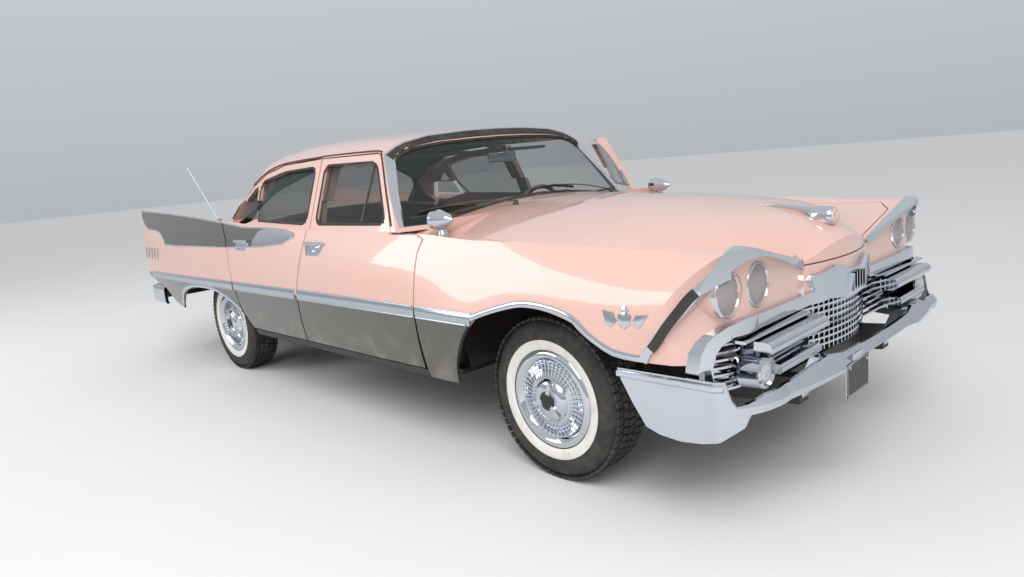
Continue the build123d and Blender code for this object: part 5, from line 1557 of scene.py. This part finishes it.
def inflated(name, base):
    # a remeshed skin with air in it, its travel held under the cap
    s = padding
    obj = bpy.data.objects.new(name, base)
    bpy.context.scene.collection.objects.link(obj)
    remesh = obj.modifiers.new("remesh", "REMESH")
    remesh.mode = "VOXEL"
    remesh.voxel_size = s["voxel"]
    obj.data = evaluated(obj)
    obj.modifiers.clear()
    start = np.empty(len(obj.data.vertices) * 3)
    obj.data.vertices.foreach_get("co", start)
    cloth = obj.modifiers.new("cover", "CLOTH")
    for key, value in coverCloth.items():
        setattr(cloth.settings, key, value)
    cloth.settings.effector_weights.gravity = 0
    cloth.point_cache.frame_start = 1
    cloth.point_cache.frame_end = s["frames"]
    for step in range(1, s["frames"] + 1):
        bpy.context.scene.frame_set(step)
    obj.data = evaluated(obj)
    obj.modifiers.clear()
    bpy.context.scene.frame_set(1)
    end = np.empty(len(obj.data.vertices) * 3)
    obj.data.vertices.foreach_get("co", end)
    moved = (end - start).reshape(-1, 3)
    length = np.linalg.norm(moved, axis=1, keepdims=True)
    held = moved * np.minimum(1.0, s["cap"] / np.maximum(length, 1e-9))
    obj.data.vertices.foreach_set("co", (start.reshape(-1, 3) + held).ravel())
    smooth = obj.modifiers.new("smooth", "SMOOTH")
    smooth.factor, smooth.iterations = 0.5, 3
    finer = obj.modifiers.new("finer", "SUBSURF")
    finer.levels = finer.render_levels = 1
    mesh = evaluated(obj)
    bpy.data.objects.remove(obj)
    mesh.name = name
    return mesh


def pleated(mesh, half, upZ):
    # sewn channels that run fore and aft on the cushion, and up and down on the back
    s = padding
    count = len(mesh.vertices)
    places, normals = np.empty(count * 3), np.empty(count * 3)
    mesh.vertices.foreach_get("co", places)
    mesh.vertices.foreach_get("normal", normals)
    places, normals = places.reshape(-1, 3), normals.reshape(-1, 3)
    facing = normals[:, 2] if upZ else normals[:, 0]
    across = np.abs(places[:, 1])
    share = np.clip((facing - 0.45) / 0.35, 0, 1)
    inner = np.clip((half - 0.09 - across) / 0.02, 0, 1)
    phase = (places[:, 1] / s["pleatPitch"]) % 1.0 - 0.5
    groove = np.exp(-(phase / s["pleatWidth"]) ** 2)
    edge = np.exp(-(((across - (half - s["edgeIn"])) / s["edgeWidth"]) ** 2))
    depth = s["pleatDepth"] * share * np.maximum(groove * inner, edge)
    places -= normals * depth[:, None]
    mesh.vertices.foreach_set("co", places.ravel())
    mesh.update()
    mesh.shade_smooth()


def makeSeats():
    for label, s in seatPieces.items():
        base = prismMesh(label, s["outline"], -s["half"], s["half"])
        mesh = inflated(label, base)
        pleated(mesh, s["half"], s["upZ"])
        seat = put(label, mesh, "body", "seatCloth")
        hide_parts(s["node"])
    for label, (low, high) in seatBases.items():
        halves = [boxMesh(label, low, (high[0], -baseGap, high[2]), 0.006),
                  boxMesh(label, (low[0], baseGap, low[2]), high, 0.006)]
        put(label, joined(label, halves), "body", "vinylTrim")


makeSeats()
print("seats made")

# door cards, armrests and window cranks
cardSizes = {  # front and rear: the x range, its height range, and the arm rest's length
    "front": {"x": (-0.055, 0.800), "z": (0.450, 0.955), "rest": 0.30, "shift": 0.0},
    "rear": {"x": (-0.800, -0.300), "z": (0.450, 0.960), "rest": 0.24, "shift": -0.06},
    "thick": 0.006, "lift": 0.0065, "step": 0.03,
    "stripZ": 0.800, "stripWidth": 0.022, "stripThickness": 0.005,
    "restZ": (0.672, 0.722), "restY": (0.006, 0.066), "restBack": 0.05,
    "fittings": [(0.18, 0.600, 0.10, 0.020), (0.10, 0.865, 0.11, 0.018)],  # x, z, arm's length and radius
    "knob": [(0.0, 0.0), (0.009, 0.0), (0.012, 0.006), (0.012, 0.022), (0.008, 0.028), (0.0, 0.028)],
}


def sheetOn(name, skin, aim, us, vs, lift, thick):
    # a thin closed sheet over a grid of ray hits
    made = bmesh.new()
    grid = {}
    for i, u in enumerate(us):
        for k, v in enumerate(vs):
            hit = onSkin(skin, u, v, aim)
            if hit:
                grid[i, k] = made.verts.new(hit[0] + hit[1] * lift)
    for i in range(len(us) - 1):
        for k in range(len(vs) - 1):
            corners = [grid.get(c) for c in ((i, k), (i + 1, k), (i + 1, k + 1), (i, k + 1))]
            if all(corners) and max((a.co - b.co).length for a in corners for b in corners) < 0.12:
                made.faces.new(corners)
    loose = [v for v in made.verts if not v.link_faces]
    bmesh.ops.delete(made, geom=loose, context="VERTS")
    bmesh.ops.recalc_face_normals(made, faces=made.faces)
    bmesh.ops.solidify(made, geom=made.faces[:], thickness=thick)
    bmesh.ops.recalc_face_normals(made, faces=made.faces)
    mesh = bpy.data.meshes.new(name)
    made.to_mesh(mesh)
    made.free()
    return shaded(mesh, 40)


def stripOn(name, skin, spots, aim, stand, width, thickness, finish, sides=10):
    # a strip over these spots, a little proud of the skin
    hits = [onSkin(skin, *spot, aim) for spot in spots]
    hits = [hit for hit in hits if hit]
    places, outs = [place + out * stand for place, out in hits], [out for place, out in hits]
    return mouldingAlong(name, places, outs, width, thickness, finish, sides=sides)


def makeDoorCards():
    # each card with its bright strip, arm rest, window crank and door handle
    s = cardSizes
    for end, panel in (("front", "doorFront"), ("rear", "doorRear")):
        skin, (xLow, xHigh) = skins[panel], s[end]["x"]
        us = np.arange(xLow, xHigh + 0.001, s["step"])
        vs = np.linspace(*s[end]["z"], 14)
        card = sheetOn("doorCard", skin, "inside", us, vs, s["lift"], -s["thick"])
        putBoth(f"doorCard_{end}_", card, panel, "vinylTrim")
        spots = [(x, s["stripZ"]) for x in np.linspace(xLow + 0.01, xHigh - 0.01, 24)]
        strip = stripOn("cardStrip", skin, spots, "inside", 0.008, s["stripWidth"], s["stripThickness"],
                        "brushedTrim")
        putBoth(f"cardStrip_{end}_", strip, panel, "brushedTrim")
        middle, half = (xLow + xHigh) / 2, s[end]["rest"] / 2
        wall = onSkin(skin, middle, 0.700, "inside")[0]
        low, high = [(middle + side * half - s["restBack"], wall.y + y, z)
                     for side, y, z in zip((-1, 1), s["restY"], s["restZ"])]
        putBoth(f"armRest_{end}_", boxMesh("armRest", low, high, 0.018, 4), panel, "seatCloth")
        parts = []
        for along, z, reach, size in s["fittings"]:
            wall, out = onSkin(skin, middle + along + s[end]["shift"], z, "inside")
            at = wall + out * s["lift"]
            rosette = [(0.0, 0.0), (size + 0.006, 0.0), (size + 0.004, 0.005), (size * 0.5, 0.009),
                       (size * 0.45, 0.024), (0.0, 0.024)]
            parts.append(lathe("rosette", rosette, at, out, 28, closed=False))
            tip = at + Vector((-reach, 0, -0.02)) + out * 0.022
            run = [at.lerp(tip, t) + out * (0.018 * (1 - t)) for t in np.linspace(0, 1, 8)]
            parts.append(mouldingAlong("arm", run, [out] * 8, 0.013, 0.007, "chromePlate", sides=8))
            parts.append(lathe("knob", s["knob"], tip, out, 20, closed=False))
        putBoth(f"doorFittings_{end}_", joined("doorFittings", parts), panel, "chromePlate")


liningSizes = {
    "x": (-1.13, 0.345), "y": 0.60, "lift": 0.0055, "thick": 0.004,
    "bows": (-0.95, -0.60, -0.25, 0.10), "bowHalf": 0.59, "bowWidth": 0.008, "bowThickness": 0.006,
}


def makeHeadliner():
    s = liningSizes
    us, vs = np.linspace(*s["x"], 44), np.linspace(-s["y"], s["y"], 30)
    mesh = sheetOn("headliner", skins["roof"], "up", us, vs, s["lift"], -s["thick"])
    put("headliner", mesh, "body", "headCloth")
    bows = []
    for x in s["bows"]:
        spots = [(x, y) for y in np.linspace(-s["bowHalf"], s["bowHalf"], 30)]
        bows.append(stripOn("bow", skins["roof"], spots, "up", 0.007, s["bowWidth"], s["bowThickness"],
                            "headCloth", 8))
    put("headlinerBows", joined("headlinerBows", bows), "body", "headCloth")


makeDoorCards()
makeHeadliner()
print("cabin lining on")

# dashboard, steering wheel trim, mirror, visors and pedals
dashSizes = {
    "gauges": [(0.295, 0.985, 0.052), (0.465, 0.985, 0.052), (0.38, 0.985, 0.030)],  # y, z and radius
    "marks": 11, "markFrom": -120, "markTurn": 24, "markAt": 0.84, "needle": 0.72,
    "knobs": [0.56, 0.52, 0.20, 0.16, -0.12, -0.16], "knobZ": 0.865,
    "knob": [(0.0, 0.0), (0.007, 0.0), (0.007, 0.010), (0.013, 0.013), (0.013, 0.024), (0.009, 0.028),
             (0.0, 0.028)],
    "grilleY": (-0.09, 0.09), "grilleZ": (0.895, 1.000), "bars": 9, "barHalf": 0.003,
    "stripHalf": 0.74, "stripZ": 0.925, "stripWidth": 0.016, "stripThickness": 0.008,
    "glovebox": [(-0.56, 0.850), (-0.24, 0.850), (-0.24, 0.912), (-0.56, 0.912)],
    "gloveKnobAt": (-0.40, 0.895),
    "gloveKnob": [(0.0, 0.0), (0.012, 0.0), (0.012, 0.008), (0.008, 0.012), (0.0, 0.012)],
}
rearward = (-1, 0, 0)


def dashFace(y, z):
    for nudge in (0, 0.0007, -0.0013, 0.0031):  # a ray can slip between two triangles
        hit = skins["dash"].ray_cast(Vector((0.45, y + nudge, z + nudge)), Vector(forward))[0]
        if hit:
            return hit
    raise ValueError(f"no dashboard at {y:.3f}, {z:.3f}")


def makeGauges():
    s = dashSizes
    rings, faces, marks = [], [], []
    for y, z, r in s["gauges"]:
        centre = dashFace(y, z)
        ring = [(r, 0.0), (r + 0.006, 0.004), (r + 0.005, 0.010), (r - 0.001, 0.006)]
        face = [(0.0, 0.0015), (r - 0.001, 0.0015), (r - 0.001, 0.003), (0.0, 0.003)]
        rings.append(lathe("gaugeRing", ring, centre, rearward, 40))
        faces.append(lathe("gaugeFace", face, centre, rearward, 40, closed=False))
        half = Vector((0.0004, 0.0012, 0.0030))
        for k in range(s["marks"]):
            a = math.radians(s["markFrom"] + k * s["markTurn"])
            place = centre + Vector((-0.0035, math.sin(a) * r * s["markAt"], math.cos(a) * r * s["markAt"]))
            marks.append(boxMesh("mark", place - half, place + half))
        marks.append(boxMesh("needle", centre + Vector((-0.0052, -0.001, -0.004)),
                             centre + Vector((-0.0044, 0.001, r * s["needle"]))))
    put("gaugeRings", joined("gaugeRings", rings), "body", "chromePlate")
    put("gaugeFaces", joined("gaugeFaces", faces), "body", "plateBlack")
    put("gaugeMarks", joined("gaugeMarks", marks), "body", "ivoryPlastic")


def makeDash():
    # knobs, the bars of the loudspeaker grille, a bright strip and the glovebox
    s = dashSizes
    parts = [lathe("knob", s["knob"], dashFace(y, s["knobZ"]), rearward, 20, closed=False)
             for y in s["knobs"]]
    rightY, leftY = s["grilleY"]
    for z in np.linspace(*s["grilleZ"], s["bars"]):
        x, half = dashFace(0, z).x, s["barHalf"]
        parts.append(boxMesh("bar", (x - 0.009, rightY, z - half), (x + 0.002, leftY, z + half), 0.0012))
    ys = np.linspace(-s["stripHalf"], s["stripHalf"], 40)
    strip = [dashFace(y, s["stripZ"]) for y in ys if not rightY < y < leftY]
    middle = len(strip) // 2
    for run in (strip[:middle], strip[middle:]):
        parts.append(mouldingAlong("dashStrip", run, [Vector((-1, 0, 0.1))] * len(run), s["stripWidth"],
                                   s["stripThickness"], "chromePlate"))
    parts.append(lathe("gloveKnob", s["gloveKnob"], dashFace(*s["gloveKnobAt"]), rearward, 24,
                       closed=False))
    put("dashTrim", joined("dashTrim", parts), "body", "chromePlate")
    seams = []
    corners = s["glovebox"]
    for a, b in zip(corners, corners[1:] + corners[:1]):
        run = [dashFace(a[0] + (b[0] - a[0]) * t, a[1] + (b[1] - a[1]) * t) for t in np.linspace(0, 1, 10)]
        seams.append(mouldingAlong("gloveSeam", run, [Vector(rearward)] * 10, 0.004, 0.002, "darkGap",
                                   sides=6))
    put("gloveSeam", joined("gloveSeam", seams), "body", "darkGap")


hornSizes = {
    "centre": (0.318, 0.380, 0.935), "lean": 25, "radius": 0.125, "proud": 0.010,
    "from": -200, "steps": 41, "turn": 5.5, "spokes": (-200, 20),  # degrees round the wheel
    "ringWidth": 0.008, "ringThickness": 0.007, "spokeWidth": 0.012, "spokeThickness": 0.005,
    "cap": [(0.0, 0.018), (0.018, 0.017), (0.032, 0.012), (0.040, 0.004), (0.0405, -0.002), (0.0, -0.002)],
}


def makeHornRing():
    s = hornSizes
    lean = math.radians(s["lean"])
    axis = Vector((-math.cos(lean), 0, math.sin(lean)))
    centre, side = Vector(s["centre"]), Vector((0, 1, 0))
    up = side.cross(axis).normalized()

    def rim(degrees):
        a = math.radians(degrees)
        return centre + (side * math.cos(a) + up * math.sin(a)) * s["radius"] + axis * s["proud"]

    run = [rim(s["from"] + k * s["turn"]) for k in range(s["steps"])]
    parts = [lathe("hornCap", s["cap"], centre, axis, 40, closed=False, angle=50),
             mouldingAlong("hornRing", run, [axis] * len(run), s["ringWidth"], s["ringThickness"],
                           "chromePlate")]
    for degrees in s["spokes"]:
        tip = rim(degrees)
        near = centre + (tip - centre) * 0.25 + axis * 0.004
        spoke = [near.lerp(tip, t) for t in np.linspace(0, 1, 6)]
        parts.append(mouldingAlong("hornSpoke", spoke, [axis] * 6, s["spokeWidth"], s["spokeThickness"],
                                   "chromePlate", sides=8))
    put("hornRing", joined("hornRing", parts), "steering_wheel", "chromePlate")


mirrorSizes = {  # the parts by their corners, from the mirror's middle
    "glassZ": 1.365, "middle": (-0.052, 0, -0.045),
    "shell": ((-0.012, -0.105, -0.028), (0.006, 0.105, 0.028)),
    "face": ((-0.0135, -0.098, -0.021), (-0.0115, 0.098, 0.021)),
    "post": ((0.000, -0.006, 0.0), (0.046, 0.006, 0.057)),
    "visorX": (0.215, 0.345), "visorY": (0.12, 0.52), "visorZ": (1.352, 1.370),
}


def makeMirrorAndVisors():
    s = mirrorSizes
    middle = onSkin(skins["screen"], 0.0, s["glassZ"], "front")[0] + Vector(s["middle"])

    def block(label, bevel, segments=2):
        low, high = s[label]
        return boxMesh(label, middle + Vector(low), middle + Vector(high), bevel, segments)

    put("cabinMirror", joined("cabinMirror", [block("shell", 0.008, 3), block("post", 0.003)]), "body",
        "dullChrome")
    put("cabinMirrorFace", block("face", 0.0005), "body", "lampBowl")
    visors = []
    (xLow, xHigh), (zLow, zHigh) = s["visorX"], s["visorZ"]
    for side in (-1, 1):
        low, high = sorted(side * y for y in s["visorY"])
        visors.append(boxMesh("visor", (xLow, low, zLow), (xHigh, high, zHigh), 0.007, 3))
    put("sunVisors", joined("sunVisors", visors), "body", "headCloth")


pedalSizes = {
    # y, width, height and z of each
    "pads": [(0.46, 0.055, 0.065, 0.50), (0.32, 0.085, 0.060, 0.50), (0.20, 0.060, 0.13, 0.455)],
    "x": 0.855, "thick": 0.012, "lean": -30, "stemFrom": 0.860, "stemTo": 0.905,
}


def makePedals():
    s = pedalSizes
    pads = []
    for y, wide, tall, z in s["pads"]:
        half = Vector((s["thick"] / 2, wide / 2, tall / 2))
        pad = boxMesh("pad", -half, half, 0.004)
        pad.transform(Matrix.Translation((s["x"], y, z)) @ Matrix.Rotation(math.radians(s["lean"]), 4, "Y"))
        pads.append(pad)
        low, high = (s["stemFrom"], y - 0.006, z - 0.004), (s["stemTo"], y + 0.006, z + 0.008)
        pads.append(boxMesh("stem", low, high, 0.002))
    put("pedals", joined("pedals", pads), "body", "blackRubber")


makeGauges()
makeDash()
makeHornRing()
makeMirrorAndVisors()
makePedals()
print("dash and controls on")

# the inner slopes of the fins and the rear edge of the trunk lid, closed with sheet
tailSheets = {
    "fromX": -2.235, "edgeY": 0.745, "headY": 0.884, "faceX": -2.8113, "faceZ": 0.900, "faceLean": 0.461,
    "edgeZ": [(-2.90, 0.940), (-2.80, 0.954), (-2.70, 0.966), (-2.60, 0.977), (-2.50, 0.986),
              (-2.40, 0.993), (-2.30, 1.000), (-2.20, 1.005)],
    "valleyY": [(-2.95, 0.752), (-2.40, 0.772), (-1.80, 0.800)],
    "valleyZ": [(-2.90, 0.937), (-2.80, 0.951), (-2.70, 0.963), (-2.60, 0.974), (-2.50, 0.983),
                (-2.40, 0.990), (-2.30, 0.996), (-2.20, 1.001)],
    "headZ": [(-2.93, 1.152), (-2.80, 1.145), (-2.70, 1.139), (-2.60, 1.132), (-2.50, 1.124),
              (-2.40, 1.117), (-2.30, 1.109), (-2.20, 1.101)],
    "facing": (0, 0.5, 0.87), "sunk": 0.0008, "lidFace": -2.8124, "lidFoot": 0.930, "lidHalf": 0.70,
    "lidTop": [(0.0, 0.9865), (0.2, 0.985), (0.3, 0.982), (0.4, 0.977), (0.5, 0.972), (0.6, 0.965),
               (0.7, 0.957)],
}


def makeTailSheets():
    s = tailSheets
    grid = []
    for share in np.linspace(0, 1, 40):
        column = []
        for t in (None, *np.linspace(0, 1, 7)):  # the deck's edge, then up the slope
            x = s["fromX"]
            for _ in range(4):  # each round brings the row's end nearer to the leaning tail
                if t is None:
                    spot = Vector((s["edgeY"], lerpAlong(s["edgeZ"], x)))
                else:
                    low = Vector((lerpAlong(s["valleyY"], x), lerpAlong(s["valleyZ"], x)))
                    spot = low.lerp(Vector((s["headY"], lerpAlong(s["headZ"], x))), t)
                tail = s["faceX"] - (spot.y - s["faceZ"]) * s["faceLean"] + 0.003
                x = s["fromX"] + (tail - s["fromX"]) * share
            column.append((Vector((x, -spot.x, spot.y)), Vector(s["facing"]), -s["sunk"]))
        grid.append(column)
    putBoth("finInner_", sheetFrom("finInner", grid), "body", "pinkPaint")
    grid = []
    for y in np.linspace(-s["lidHalf"], s["lidHalf"], 41):
        top = lerpAlong(s["lidTop"], abs(y))
        heights = [s["lidFoot"] + (top - s["lidFoot"]) * t for t in np.linspace(0, 1, 5)]
        grid.append([(Vector((s["lidFace"], y, z)), Vector(rearward), 0.0) for z in heights])
    put("lidEdge", sheetFrom("lidEdge", grid), "trunk_lid", "pinkPaint")


makeTailSheets()
print("tail closed")
